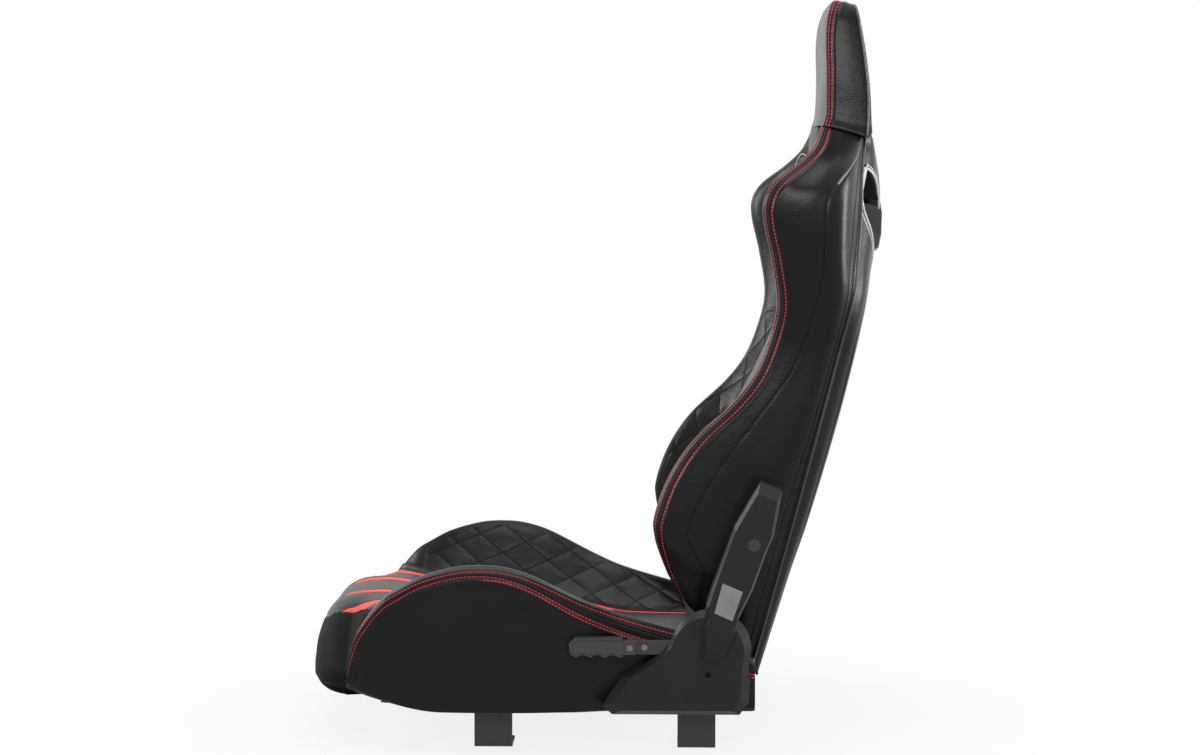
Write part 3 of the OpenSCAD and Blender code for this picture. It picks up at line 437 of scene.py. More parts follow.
BLACK = leather("black_leather", (0.0025, 0.0025, 0.0026), (0.0045, 0.0045, 0.0046), (0.25, 0.33),
                specular=0.17)
# Painted shade: the panel under the nose seam is its own piece, but this copy of the leather is
# darker than the centre leather round it, rougher and less specular. That paints the shade of the
# nose front, which faces down.
NOSE_PAINTED_SHADE = leather("nose_leather_painted_shade", (0.0025, 0.0025, 0.0026), (0.0045, 0.0045, 0.0046), (0.66, 0.76),
               specular=0.08)
WELT = leather("matt_leather", (0.006, 0.006, 0.006), (0.009, 0.009, 0.009), (0.42, 0.5),
               specular=0.12)
SOFT_BLACK = leather("centre_leather", (0.012, 0.012, 0.0125), (0.018, 0.018, 0.0185), (0.36, 0.46),
                     specular=0.3)
RED = leather("red_leather", (0.68, 0.03, 0.014), (0.86, 0.046, 0.024), (0.4, 0.5), 0.05)
RED_THREAD = moulded("red_thread", (0.46, 0.008, 0.018), (0.62, 0.016, 0.03), 0.55, 2600.0, 0.5)
BLACK_THREAD = moulded("black_thread", (0.0015, 0.0015, 0.0015), (0.003, 0.003, 0.003), 0.7, 2600.0,
                       0.5, specular=0.15)
PIPING = leather("piping", (0.007, 0.007, 0.007), (0.011, 0.011, 0.011), (0.28, 0.36))
PALE_PIPING = leather("pale_piping", (0.09, 0.09, 0.09), (0.12, 0.12, 0.12), (0.3, 0.4))
PLASTIC = moulded("grained_plastic", (0.006, 0.006, 0.0062), (0.0085, 0.0085, 0.0088), 0.42,
                  specular=0.2)
GRIP = moulded("grip_plastic", (0.014, 0.014, 0.014), (0.02, 0.02, 0.02), 0.38)
DARK_METAL = metal("dark_metal", (0.16, 0.16, 0.16), 0.3, 1.0)
INLAY = moulded("grey_inlay", (0.13, 0.13, 0.13), (0.2, 0.2, 0.2), 0.6, 700.0, 0.6)
RIM = moulded("gloss_rim", (0.4, 0.4, 0.4), (0.5, 0.5, 0.5), 0.16, 200.0, 0.02)
HOLE_BLACK = moulded("hole_black", (0.001, 0.001, 0.001), (0.002, 0.002, 0.002), 0.7, specular=0.1)
BEZEL = moulded("gloss_bezel", (0.012, 0.012, 0.012), (0.016, 0.016, 0.016), 0.16, 200.0, 0.02)
COATED = metal("powder_coat", (0.008, 0.008, 0.0083), 0.42)
ZINC = metal("zinc_plate", (0.6, 0.6, 0.61), 0.3, 1.0)
CLOTH = woven("dust_cloth", (0.006, 0.006, 0.006), (0.02, 0.02, 0.02))


# ---- cushion ----

CREST_Y = -145
CREST = [(START, 50), (START + 7, 80), (START + 17, 108), (START + 47, SIDE_H - 44),
         (START + 70, SIDE_H - 29), (START + 100, SIDE_H - 14), (-180, SIDE_H - 2), (-145, SIDE_H),
         (-115, SIDE_H - 3), (-80, SIDE_H - 14), (-17, SIDE_H - 45), (29, 126), (92, 107),
         (130, 97), (170, 84), (CUSHION_END, 68)]
WIDTH = [(START, CUSHION_X - 11), (START + 30, CUSHION_X - 5), (-225, CUSHION_X), (-90, CUSHION_X),
         (-45, 248.6), (-20, 246), (15, HIP_X + 2), (40, HIP_X), (CUSHION_END, HIP_X)]
HEM = [(START, 30), (START + 24, 21), (-274, 13), (-237, 4), (-200, 0), (CUSHION_END, 0)]
SURFACE = [(START, NOSE_H - 4), (-290, NOSE_H - 3), (-240, NOSE_H - 11), (-180, NOSE_H - 25),
           (-120, NOSE_H - 36), (-60, SEAT_H + 11), (-10, SEAT_H + 6), (40, SEAT_H - 3),
           (CUSHION_END, SEAT_H - 4)]
PAD_X = [(START, CUSHION_X - 20), (START + 25, SEAT_X + 52), (START + 60, SEAT_X + 28),
         (START + 100, SEAT_X + 14), (-150, SEAT_X + 6), (0, SEAT_X + 2), (CUSHION_END, SEAT_X)]
NOSE_MID = 46
NOSE_TOP = [(-NOSE_REACH, 74), (3 - NOSE_REACH, 88), (9 - NOSE_REACH, NOSE_H - 24),
            (19 - NOSE_REACH, NOSE_H - 11), (34 - NOSE_REACH, NOSE_H - 2),
            (START, NOSE_H + SEAT_CROWN - 4), (START + 2, NOSE_H + SEAT_CROWN - 4)]
SQUARE = [(-NOSE_REACH, 5), (START - 20, 5), (START + 45, 3), (CUSHION_END, 3)]
NOSE_BOT = [(-NOSE_REACH, 40), (3 - NOSE_REACH, 36), (9 - NOSE_REACH, 30), (19 - NOSE_REACH, 24),
            (34 - NOSE_REACH, 19), (START, 16), (NOSE_BACK, 12)]
NOSE_X = [(-NOSE_REACH, 120), (3 - NOSE_REACH, 150), (9 - NOSE_REACH, 176), (19 - NOSE_REACH, 200),
          (34 - NOSE_REACH, 219), (START, CUSHION_X - 20)]


def stack(columns):
    """(rings, controls, 3) from a list of control points, each (x, y, z) of arrays or numbers."""
    n = max(np.size(c) for p in columns for c in p)
    full = [[np.broadcast_to(np.asarray(c, float), n) for c in p] for p in columns]
    return np.transpose(np.array(full), (2, 0, 1))


def cushion_side_ring(y):
    xi, w, top = curve(PAD_X, y), curve(WIDTH, y), curve(CREST, y)
    z = np.minimum(curve(SURFACE, y), top - 4)
    hem = curve(HEM, y)
    xc = np.maximum(xi + 2, w - 26)
    xt = np.maximum(xi + 1, TUNNEL_X)
    under = np.where(y <= NOSE_BACK, hem + 1, UNDER_H)
    bulge = np.where(y < 0, 1, 0)
    return stack([
        (xi, y, under), (xi, y, z), (between(xi, xc, 1, 4), y, between(z, top, 0.7, 4)),
        (between(xi, xc, 2, 4), y, between(z, top, 1.9, 4)),
        (between(xi, xc, 3.2, 4), y, between(z, top, 3.5, 4)), (xc, y, top),
        (between(xc, w, 1, 2), y, top - 1.5), (w - 3, y, top - 7), (w, y, top - 15),
        (w + bulge, y, between(hem, top, 1, 2)), (w, y, hem + 9), (w - 5, y, hem), (xt, y, hem),
        (xt, y, under)])


def cushion_pad_ring(y):
    nose = y < START
    w = np.where(nose, curve(NOSE_X, y), curve(PAD_X, y))
    bot = np.where(y <= NOSE_BACK, curve(NOSE_BOT, y), UNDER_H)
    top = np.where(nose, curve(NOSE_TOP, y), curve(SURFACE, y) + SEAT_CROWN)
    edge = np.where(nose, NOSE_MID, np.minimum(curve(SURFACE, y), curve(CREST, y) - 4))
    low = np.where(nose, NOSE_MID - 12, np.where(y <= NOSE_BACK, curve(HEM, y) + 1, UNDER_H + 1))
    power = curve(SQUARE, y)
    points = [(u * w, y, top - (top - edge) * abs(u) ** power)
              for u in (-1, -0.97, -0.8, -0.45, -0.15, 0.15, 0.45, 0.8, 0.97, 1)]
    points += [(w, y, low), (0.93 * w, y, between(low, bot, 3, 4)), (0.8 * w, y, bot),
               (-0.8 * w, y, bot), (-0.93 * w, y, between(low, bot, 3, 4)), (-w, y, low)]
    return stack(points)


# ---- backrest ----

REACH = [(0, 56), (22, 79), (64, 100), (110, LUMBAR_D - 4), (150, LUMBAR_D), (200, LUMBAR_D - 6),
         (250, LUMBAR_D - 24), (307, WAIST_D + 25), (350, WAIST_D + 7), (405, WAIST_D),
         (450, WAIST_D + 3), (505, WAIST_D + 26), (550, SHOULDER_D - 5), (575, SHOULDER_D + 1),
         (600, SHOULDER_D - 6), (635, SHOULDER_D - 32), (660, 39), (NECK_H, 34)]
HALF = [(0, 200), (48, 212), (95, 227), (140, HIP_X - 1), (235, HIP_X - 1), (300, WAIST_X + 4),
        (405, WAIST_X), (450, WAIST_X + 11), (520, SHOULDER_X - 7), (575, SHOULDER_X),
        (610, SHOULDER_X - 7), (640, SHOULDER_X - 36), (668, SHOULDER_X - 86), (NECK_H, HEAD_X + 9)]
CENTRE = [(0, 26), (80, 40), (170, 48), (260, 40), (350, 20), (430, 8), (520, 4), (580, 8),
          (635, 20), (668, 30), (NECK_H, 33)]
INNER = [(0, 158), (SLANT_H, 158), (235, 158), (350, 152), (500, 150), (600, 146), (650, 120),
         (NECK_H, 96)]
SPLIT = [(-60, 62), (480, 60), (537, 52), (590, 42), (640, 32), (NECK_H, 26)]
REAR_X = [(0, 186), (60, 203), (280, 214), (400, 210), (470, 218), (537, 206), (590, 192),
          (640, 162), (668, 140), (NECK_H, 122)]
REAR = [(-60, REAR_D - 18), (0, REAR_D - 14), (110, REAR_D - 8), (180, REAR_D - 3), (320, REAR_D),
        (460, REAR_D - 3), (520, REAR_D - 7), (583, REAR_D - 11), (642, REAR_D - 27), (NECK_H, 46)]
FLAT_X = [(0, 158), (400, 166), (480, 150), (537, 112), (590, 95), (NECK_H, 88)]
PAD_REAR = [(-60, 38), (500, 38), (560, 42), (NECK_H, 42)]


def on_head(keys):
    """Keys given by their share of the way from the neck to the headrest's top."""
    return [(NECK_H + f * (BACK_H - NECK_H), v) for f, v in keys]


HEAD_FRONT = on_head([(0, 33), (0.09, 33), (0.26, 40), (0.46, 49), (0.66, 59), (0.82, 64),
                      (0.91, 64), (0.97, 62.5), (1, 57)])
HEAD_REAR = on_head([(0, 26), (0.13, 22), (0.35, 12), (0.6, -4), (0.82, -20), (1, -34)])
HEAD_HALF = on_head([(0, HEAD_X + 9), (0.09, HEAD_X + 4), (0.4, HEAD_X), (0.82, HEAD_X - 8),
                     (0.91, HEAD_X - 13), (0.97, HEAD_X - 24), (1, HEAD_X - 36)])
PANEL_SPLIT = SPLIT + HEAD_REAR[1:]
PANEL_REAR = REAR + on_head([(0.13, 35), (0.35, 22), (0.6, 6), (0.82, -11), (1, -26)])
PANEL_X = REAR_X + on_head([(0.09, HEAD_X + 2), (0.4, HEAD_X - 2), (0.82, HEAD_X - 10),
                            (0.91, HEAD_X - 15), (0.97, HEAD_X - 26), (1, HEAD_X - 38)])
PANEL_FLAT = FLAT_X + on_head([(0.4, 84), (1, 70)])
HOLE = [(144, 652), (160, 648), (182, 607), (183, 591), (177, 575), (158, 551), (146, 545),
        (120, 553), (108, 571), (108, 611)]
SIDE_SEAM = [(0, 20), (34, 26), (76, 34), (104, 57), (128, 67), (150, 69), (179, 64), (212, 55),
             (249, 41), (290, 24), (332, 7), (372, -7), (423, -13), (475, -13), (508, -10),
             (539, -3), (571, 5), (594, 8), (608, 6), (623, -2), (653, -16), (672, -21),
             (NECK_H, -22)]


def lean_end(y, s):
    return s + (FOOT_END - 0.6 * y) * np.maximum(0, 1 - s / SLANT_H)


def pad_end(y, s):
    return s - (8 + 0.12 * y) * np.maximum(0, 1 - s / SLANT_H)


def wing_ring(s):
    xi, w, reach = curve(INNER, s), curve(HALF, s), curve(REACH, s)
    seam = curve(CENTRE, s) - 2
    xc = np.maximum(xi + 6, w - 30)
    y2, xr = curve(SPLIT, s), curve(REAR_X, s)
    flat = [(xi, -seam), (between(xi, xc, 1, 4), -between(seam, reach, 0.8, 4)),
            (between(xi, xc, 2, 4), -between(seam, reach, 2, 4)),
            (between(xi, xc, 3.2, 4), -between(seam, reach, 3.6, 4)), (xc, -reach),
            (between(xc, w, 1, 2), 2 - reach), (w - 3, 11 - reach), (w, 26 - reach),
            (w, between(-reach, y2, 2, 4)), (between(w, xr, 1, 5), between(-reach, y2, 3.2, 4)),
            (xr, y2), (xi, y2)]
    return stack([(x, y, lean_end(y, s)) for x, y in flat])


def back_pad_ring(s):
    xi, seam = curve(INNER, s), curve(CENTRE, s) - 2
    points = [(u * xi, -seam - BACK_CROWN * (1 - u * u))
              for u in (-1, -0.75, -0.4, 0, 0.4, 0.75, 1)]
    y2 = np.minimum(curve(PAD_REAR, s), curve(SPLIT, s))
    points += [(xi, y2), (-xi, y2)]
    return stack([(x, y, pad_end(y, s)) for x, y in points])


def head_ring(s):
    w, f, y2 = curve(HEAD_HALF, s), curve(HEAD_FRONT, s), curve(HEAD_REAR, s)
    swell = BACK_CROWN * 0.7 * smooth(1 - (s - NECK_H) / 80)
    return stack([
        (-w, y2, s), (-w - 1, between(-f, y2, 2, 4), s), (-w, 10 - f, s), (5 - w, 3 - f, s),
        (16 - w, -f, s), (-w / 2, -f - 1 - swell * 0.7, s), (0 * w, -f - 1 - swell, s),
        (w / 2, -f - 1 - swell * 0.7, s),
        (w - 16, -f, s), (w - 5, 3 - f, s), (w, 10 - f, s), (w + 1, between(-f, y2, 2, 4), s),
        (w, y2, s)])


def panel_ring(s):
    x, y1, y2 = curve(PANEL_X, s), curve(PANEL_SPLIT, s), curve(PANEL_REAR, s)
    f = curve(PANEL_FLAT, s)
    side_x, side_y = between(x, f, 1, 3), between(y1, y2, 1.6, 3)
    flat = [(-x, y1), (x, y1), (side_x, side_y), (f, y2 - REAR_CROWN), (0 * f, y2),
            (-f, y2 - REAR_CROWN), (-side_x, side_y)]
    return stack([(px, py, lean_end(py, s)) for px, py in flat])


# ---- quilting, seams and stitches ----


CELL_LONG, CELL_WIDE = 68.0, 44.0
CELL_PUFF, CELL_ROUND, CELL_SINK = 1.3, 0.4, 1.4
QUILT_FADE, LINE_INSET, SHORTEST_LINE = 6, 3, 3


def quilt(skin, start, lower, upper, along, since=-np.inf, until=np.inf):
    """Swells diamond cells between the distances lower and upper along the rings, from station
    since to until. start is the distance that the pattern is counted from. Returns the distances
    of the sewn lines along the rings, with the rings that each of them runs over."""
    v = along[:, None] / CELL_LONG
    u = (skin.arc - start[:, None]) / CELL_WIDE
    a, b = np.abs(np.sin(math.pi * (v + u))), np.abs(np.sin(math.pi * (v - u)))
    lift = np.minimum(a, b) ** CELL_ROUND
    inside = smooth((skin.arc - lower[:, None]) / QUILT_FADE)
    inside = inside * smooth((upper[:, None] - skin.arc) / QUILT_FADE)
    ends = smooth((until - skin.v) / QUILT_FADE) * smooth((skin.v - since) / QUILT_FADE)
    skin.height += inside * ends[:, None] * CELL_PUFF * (lift - CELL_SINK)
    lines = []
    count = int(np.max(np.abs(v) + np.abs(u))) + 2
    for m in range(-count, count + 1):
        for way in (1, -1):
            arc = start + (m - v[:, 0]) * way * CELL_WIDE
            on = (arc > lower + LINE_INSET) & (arc < upper - LINE_INSET)
            on &= (skin.v < until - LINE_INSET) & (skin.v > since + LINE_INSET)
            if np.count_nonzero(on) > SHORTEST_LINE:
                lines.append((arc, on))
    return lines


def path_length(skin, t):
    """Distance travelled from ring to ring along the place t, so that a pattern keeps its size."""
    p, _ = skin.line(skin.arc_at(t))
    return np.concatenate([[0], np.cumsum(np.linalg.norm(np.diff(p, axis=0), axis=1))])


def band(skin, t_in, t_out, cord=1.5):
    """The rolled edge between two rows of red stitches, with a raised double cord in its middle."""
    a, b = skin.arc_at(t_in), skin.arc_at(t_out)
    middle = (a + b) / 2
    skin.groove(middle, -cord, 3.2)
    skin.groove(middle, 1.1 + cord, 0.8)
    for edge, out in ((a, -1), (b, 1)):
        skin.groove(edge, 1.0, 1.5)
        skin.groove(edge + 5 * out, -0.6, 3.5)
    return a, b


CROSS_SEAM = 2.2
QUILT_TOP, WING_SEAM = 415, 3.65
REAR_SEAMS = (9.55, 9.85)
ARCH_UP, ARCH_BOW, ARCH_WIDTH = 14, 26, 1.6
WING_ROWS = np.unique(np.concatenate([np.linspace(0, 130, 60), np.linspace(130, NECK_H, 236)]))
wing = Skin(WING_ROWS, wing_ring, (20, 20, 20, 16, 12, 16, 12, 16, 24, 30, 8, 6), (0, 10, 11))
inner_arc, outer_arc = band(wing, 5, 6)
side_arc = np.empty(len(wing.v))
for r, s in enumerate(wing.v):
    outer_face = (wing.t > 6.2) & (wing.t < 9.95)
    side_arc[r] = np.interp(-curve(SIDE_SEAM, s), wing.points[r, outer_face, 1],
                            wing.arc[r, outer_face])
wing.groove(side_arc, 1.2, 1.2)
for at in REAR_SEAMS:
    wing.groove(wing.arc_at(at), 0.8, 1.4)
wing_lines = quilt(wing, wing.arc_at(0), wing.arc_at(0) + 4, wing.arc_at(3.6),
                   path_length(wing, 2), until=QUILT_TOP)
wing.groove(wing.arc_at(WING_SEAM), 1.6, 1.3)
arch = wing.v[:, None] - QUILT_TOP - ARCH_UP + ARCH_BOW * ((wing.t - 1.8) / 1.8) ** 2
wing.height -= 1.6 * dent(arch / ARCH_WIDTH) * (wing.t < WING_SEAM)
wing.soften(0)
wing.soften(-1, 1.0, 1.8, wing.t > 6)
wing.settle()

PAD_ROWS = np.linspace(0, NECK_H, 230)
back_pad = Skin(PAD_ROWS, back_pad_ring, (20, 20, 20, 20, 20, 20, 8, 30, 8), (0, 6, 7, 8))
PANEL_EDGES = (0.9, 5.1)
for edge in PANEL_EDGES:
    back_pad.groove(back_pad.arc_at(edge), 1.8, 1.6)
middle_panel = smooth((back_pad.t - PANEL_EDGES[0]) * 5) * smooth((PANEL_EDGES[1] - back_pad.t) * 5)
back_pad.height += 1.6 * middle_panel
for seam_s in (236, QUILT_TOP + 16, 636):
    back_pad.cross_groove(seam_s, 1.4, CROSS_SEAM, middle_panel)
back_pad.settle()

HEAD_ROWS = np.concatenate([np.linspace(NECK_H, NECK_H + 10, 10),
                            np.linspace(NECK_H + 12, 834, 62), np.linspace(835.5, BACK_H, 18)])
head = Skin(HEAD_ROWS, head_ring, (10, 14, 14, 12, 14, 20, 20, 14, 12, 14, 14, 10, 30), (0, 12))
head_rows = [band(head, 9.05, 9.75, 0.4), band(head, 2.95, 2.25, 0.4)]
puff = np.sin(math.pi * np.clip((head.v - NECK_H) / (BACK_H - NECK_H), 0, 1)) ** 0.5
for low, high in ((0, 2.1), (9.9, 12)):
    place = np.clip((head.t - low) / (high - low), 0, 1)
    head.height += 2.2 * puff[:, None] * (np.sin(math.pi * place) ** 0.7)[None, :]
head.soften(0, 1.0, 1.8, (head.t < 2) | (head.t > 10))
head.soften(-1, 1.2, 1.6)
head.settle()

PANEL_ROWS = np.concatenate([np.linspace(0, 840, 210), np.linspace(842, BACK_H, 12)])
panel = Skin(PANEL_ROWS, panel_ring, (40, 12, 16, 24, 24, 16, 12), (0, 1))
for at in (3, 5):
    panel.groove(panel.arc_at(at), 1.8, 1.6)
panel.cross_groove(NECK_H + 6, 2.0, 2, smooth((panel.t - 1.4) * 3))
panel.soften(0)
panel.soften(-1, 1.2, 1.6)
panel.settle()

ROW_IN = [(START, 6.8), (-150, 6.8), (0, 6.5), (CUSHION_END, 6.3)]
ROW_OUT = [(START, 8), (-150, 7.9), (0, 8.1), (CUSHION_END, 8.3)]
SIDE_ROWS = np.unique(np.concatenate([np.linspace(START, START + 60, 60),
                                      np.linspace(START + 60, CUSHION_END, 190)]))
side = Skin(SIDE_ROWS, cushion_side_ring, (6, 16, 16, 16, 14, 14, 16, 14, 14, 16, 12, 6, 6, 4),
            (0, 1, 11, 12, 13))
side_in, side_out = band(side, curve(ROW_IN, side.v), curve(ROW_OUT, side.v), 1.2)
side_lines = quilt(side, side.arc_at(1), side.arc_at(1) + 4, side.arc_at(4.6),
                   path_length(side, 3), since=START + 60)
side.groove(side.arc_at(4.65), 1.5, 1.3)
# Slack in the cushion's side near the nose: (station, height, tilt, length)
CREASES = ((-310, 40, 0.5, 26), (-304, 58, 0.3, 34), (-296, 46, 0.7, 24))
for v0, z0, tilt, reach in CREASES:
    dv = side.v[:, None] - v0
    dz = side.rest[:, :, 2] - z0
    off = (dv * math.cos(tilt) - dz * math.sin(tilt)) / 1.8
    along = (dv * math.sin(tilt) + dz * math.cos(tilt)) / reach
    side.height -= 0.9 * dent(off) * dent(along) * ((side.t > 8.4) & (side.t < 10.6))
for end in (0, -1):
    side.soften(end, 1.2, 2)
side.settle()

CUSHION_ROWS = np.concatenate([-NOSE_REACH + 55 * np.linspace(0, 1, 40) ** 1.5,
                               np.linspace(START + 1.5, GAP_Y, 190)])
cushion = Skin(CUSHION_ROWS, cushion_pad_ring,
               (6, 14, 24, 22, 22, 22, 24, 14, 6, 4, 4, 4, 20, 4, 4, 4), ())


def arc_at_x(x):
    """Distances along the cushion's rings where the top is at x, given for each ring."""
    top = cushion.t <= 9
    return np.array([np.interp(x[r], cushion.rest[r, top, 0], cushion.arc[r, top])
                     for r in range(len(cushion.v))])


# Red stripes of the seat pad: (y, inner edge, outer edge), pointed at both ends
STRIPES = {
    "middle": ((-352, 58, 58.5), (-335, 50, 64), (-300, 42, 70), (-262, 40, 66), (-200, 44, 62),
               (-120, 52, 62), (-50, 60, 61)),
    "outer": ((-342, 138, 138.5), (-328, 126, 146), (-300, 122, 155), (-262, 128, 158),
              (-200, 134, 160), (-120, 134, 159), (-40, 134, 157), (0, 136, 156), (25, 142, 155),
              (60, 144, 155), (140, 142, 154)),
}
WEDGE = ((-4, 138, 139), (0, 128, 139), (8, 96, 139), (14, 112, 139), (22, 138, 139))
NOSE_SEAM = ((-374, 96), (-356, 111), (-335, 118), (-309, 121))
NOSE_END = -300
SEAT_SEAMS = (-245, -90)


def stripe_edges(keys, v):
    """The distances of a stripe's inner and outer edge from the middle at the stations v."""
    return [curve([(k[0], k[side]) for k in keys], v) for side in (1, 2)]


for keys in STRIPES.values():
    inside = (cushion.v >= keys[0][0]) & (cushion.v <= keys[-1][0])
    for edge in stripe_edges(keys, cushion.v):
        for sign in (1, -1):
            cushion.groove(arc_at_x(sign * edge), 1.3, 1.7, inside[:, None])
nose_line = np.interp(cushion.v, *zip(*NOSE_SEAM))
off = (cushion.rest[:, :, 2] - nose_line[:, None]) / 1.8
on_nose = smooth((NOSE_END - cushion.v) / 10)[:, None] * (cushion.t <= 9.5)
cushion.height -= 1.6 * dent(off) * on_nose
for seam_y in SEAT_SEAMS:
    cushion.cross_groove(seam_y, 1.8, CROSS_SEAM, (cushion.t > 1.2) & (cushion.t < 7.8))
cushion.settle()


def on_pad(v, x, lift):
    """The point of the seat pad's top at station v and the side distance x, raised by lift."""
    f = np.interp(v, cushion.v, np.arange(len(cushion.v)))
    first = min(int(f), len(cushion.v) - 2)
    top = cushion.t <= 9
    ends = []
    for r in (first, first + 1):
        arc = np.interp(x, cushion.rest[r, top, 0], cushion.arc[r, top])
        ends.append([np.interp(arc, cushion.arc[r], data[r, :, c])
                     for data in (cushion.points, cushion.normal) for c in range(3)])
    at = between(np.array(ends[0]), np.array(ends[1]), f - first, 1)
    return at[:3] + at[3:] * lift


# Height of a stripe over the pad, from its inner to its outer edge
STRIPE_LIFT = (-1.2, 0.3, 0.75, 0.85, 0.9, 0.85, 0.75, 0.3, -1.2)
SHORT_STRIPE, FINE_STEP, STEP = 60, 1.0, 3.0


def stripe_object(name, keys, sign):
    """A strip of red leather laid on the seat pad, its edges turned in."""
    first, last = keys[0][0], keys[-1][0]
    rows = np.arange(first, last + 0.1, FINE_STEP if last - first < SHORT_STRIPE else STEP)
    n = len(STRIPE_LIFT)
    verts, faces = [], []
    for v in rows:
        x0, x1 = (float(edge) for edge in stripe_edges(keys, v))
        for f, lift in zip(np.linspace(0, 1, n), STRIPE_LIFT):
            verts.append(on_pad(v, sign * (x0 + (x1 - x0) * f), lift))
    for r in range(len(rows) - 1):
        for k in range(n - 1):
            face = (r * n + k, r * n + k + 1, (r + 1) * n + k + 1, (r + 1) * n + k)
            faces.append(face if sign > 0 else tuple(reversed(face)))
    obj = mesh_object(name, place_base(np.array(verts)), faces, RED)
    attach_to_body(obj, "seat_base")


for sign, tag in ((1, "left"), (-1, "right")):
    for kind, keys in STRIPES.items():
        stripe_object(f"stripe_{kind}_{tag}", keys, sign)
    stripe_object(f"stripe_wedge_{tag}", WEDGE, sign)


def paint(obj, mask, material):
    """Gives the faces of the rings and samples in mask, an array (rings, samples), a material."""
    obj.data.materials.append(material)
    slot = len(obj.data.materials) - 1
    rows, n = mask.shape
    index = np.zeros(len(obj.data.polygons), int)
    obj.data.polygons.foreach_get("material_index", index)
    index[: (rows - 1) * n][mask[:-1].ravel()] = slot
    obj.data.polygons.foreach_set("material_index", index)


SIDES = (("left", False), ("right", True))


def dress(name, skin, place, body, stands_for, material, mirror=False):
    """A leather skin that moves with a body and replaces the CAD nodes in stands_for."""
    obj = skin_object(name, skin, place, material, mirror)
    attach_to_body(obj, body)
    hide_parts(*stands_for)
    return obj


def within(skin, low, high):
    """Mask of the samples whose distance along their ring is between low and high."""
    return (skin.arc > low[:, None]) & (skin.arc < high[:, None])


for tag, mirror in SIDES:
    made = dress(f"back_bolster_skin_{tag}", wing, place_back, "backrest", [f"back_bolster_{tag}"],
                 BLACK, mirror)
    paint(made, within(wing, inner_arc + 1, outer_arc - 1), WELT)
    made = dress(f"cushion_bolster_skin_{tag}", side, place_base, "seat_base",
                 [f"cushion_bolster_{tag}"], BLACK, mirror)
    paint(made, within(side, side_in + 1, side_out - 1), WELT)
dress("back_pad_skin", back_pad, place_back, "backrest", ["back_pad"], SOFT_BLACK)
made = dress("headrest_skin", head, place_back, "backrest", ["headrest"], BLACK)
for first, second in head_rows:
    low, high = np.minimum(first, second), np.maximum(first, second)
    paint(made, within(head, low + 1, high - 1), WELT)
dress("back_panel_skin", panel, place_back, "backrest", ["back_panel"], BLACK)
made = dress("cushion_pad_skin", cushion, place_base, "seat_base", ["cushion_pad"], SOFT_BLACK)
# Painted shade: the nose front below its seam gets the darker, duller leather, for the shade on
# this down-facing face.
nose_shade_below_seam = (cushion.rest[:, :, 2] < nose_line[:, None]) & (cushion.v < NOSE_END)[:, None]
paint(made, nose_shade_below_seam, NOSE_PAINTED_SHADE)


SHOULDER_FROM = 618


def attach(obj, body):
    """Lets a leather or thread piece move with a body."""
    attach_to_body(obj, body)
    return obj


for tag, mirror in SIDES:
    for name, skin, arcs, place, body in (
            ("back", wing, (inner_arc, outer_arc), place_back, "backrest"),
            ("head", head, head_rows[0], place_back, "backrest"),
            ("cushion", side, (side_in, side_out, side_out + 4.5), place_base, "seat_base")):
        runs = [skin.line(a, 0.25) for a in arcs]
        if len(runs) == 3:
            back_half = skin.v > CREST_Y
            runs[2] = tuple(part[back_half] for part in runs[2])
        attach(thread(f"{name}_stitches_{tag}", runs, place, RED_THREAD, mirror=mirror), body)
    for name, skin, lines, place, body in (
            ("back", wing, wing_lines, place_back, "backrest"),
            ("cushion", side, side_lines, place_base, "seat_base")):
        runs = []
        for arc, on in lines:
            at, up = skin.line(arc, 0.1)
            runs.append((at[on], up[on]))
        attach(thread(f"{name}_quilt_{tag}", runs, place, BLACK_THREAD, 4.0, 3.7, 0.7, mirror),
               body)
    attach(tube(f"side_seam_{tag}", wing.line(side_arc, -0.2)[0][2:-2], 0.8, place_back,
                BLACK_THREAD, mirror), "backrest")
    seams = [wing.line(wing.arc_at(at), 0.1) for at in REAR_SEAMS]
    attach(thread(f"rear_stitches_{tag}", seams, place_back, BLACK_THREAD, radius=0.6,
                  mirror=mirror), "backrest")
    corner = [wing.points[:, wing.t == 10][:, 0], head.points[1:-8, head.t == 12][:, 0]]
    attach(tube(f"rear_piping_{tag}", np.concatenate(corner), 2.1, place_back, PIPING, mirror),
           "backrest")
    upper = wing.v > SHOULDER_FROM
    attach(tube(f"shoulder_piping_{tag}", wing.line(side_arc, 0.2)[0][upper], 1.2, place_back,
                PALE_PIPING, mirror), "backrest")

# ---- harness holes ----

HOLE_GAP, HOLE_REACH = 0.4, 150
HOLE_SAMPLES, HOLE_ROUNDS, RIM_ROUNDS = 12, 40, 6
# Rims round each hole, from the hole outwards: (distance, radius)
RIMS = ((1.2, 1.7), (6.5, 1.1))
RIM_SINK = 0.3


def hole_outline(grow):
    """The rounded outline of a harness hole, moved outwards by grow."""
    p = np.array(HOLE, float)
    ends = np.roll(p, -1, axis=0)
    dense = np.concatenate([np.linspace(a, b, HOLE_SAMPLES, endpoint=False)
                            for a, b in zip(p, ends)])
    for _ in range(HOLE_ROUNDS):
        dense = (np.roll(dense, 1, axis=0) + 2 * dense + np.roll(dense, -1, axis=0)) / 4
    along = np.roll(dense, -1, axis=0) - np.roll(dense, 1, axis=0)
    out = np.c_[-along[:, 1], along[:, 0]]
    out /= np.linalg.norm(out, axis=1, keepdims=True)
    if np.sum(out * (dense - dense.mean(axis=0))) < 0:
        out = -out
    return dense + out * grow


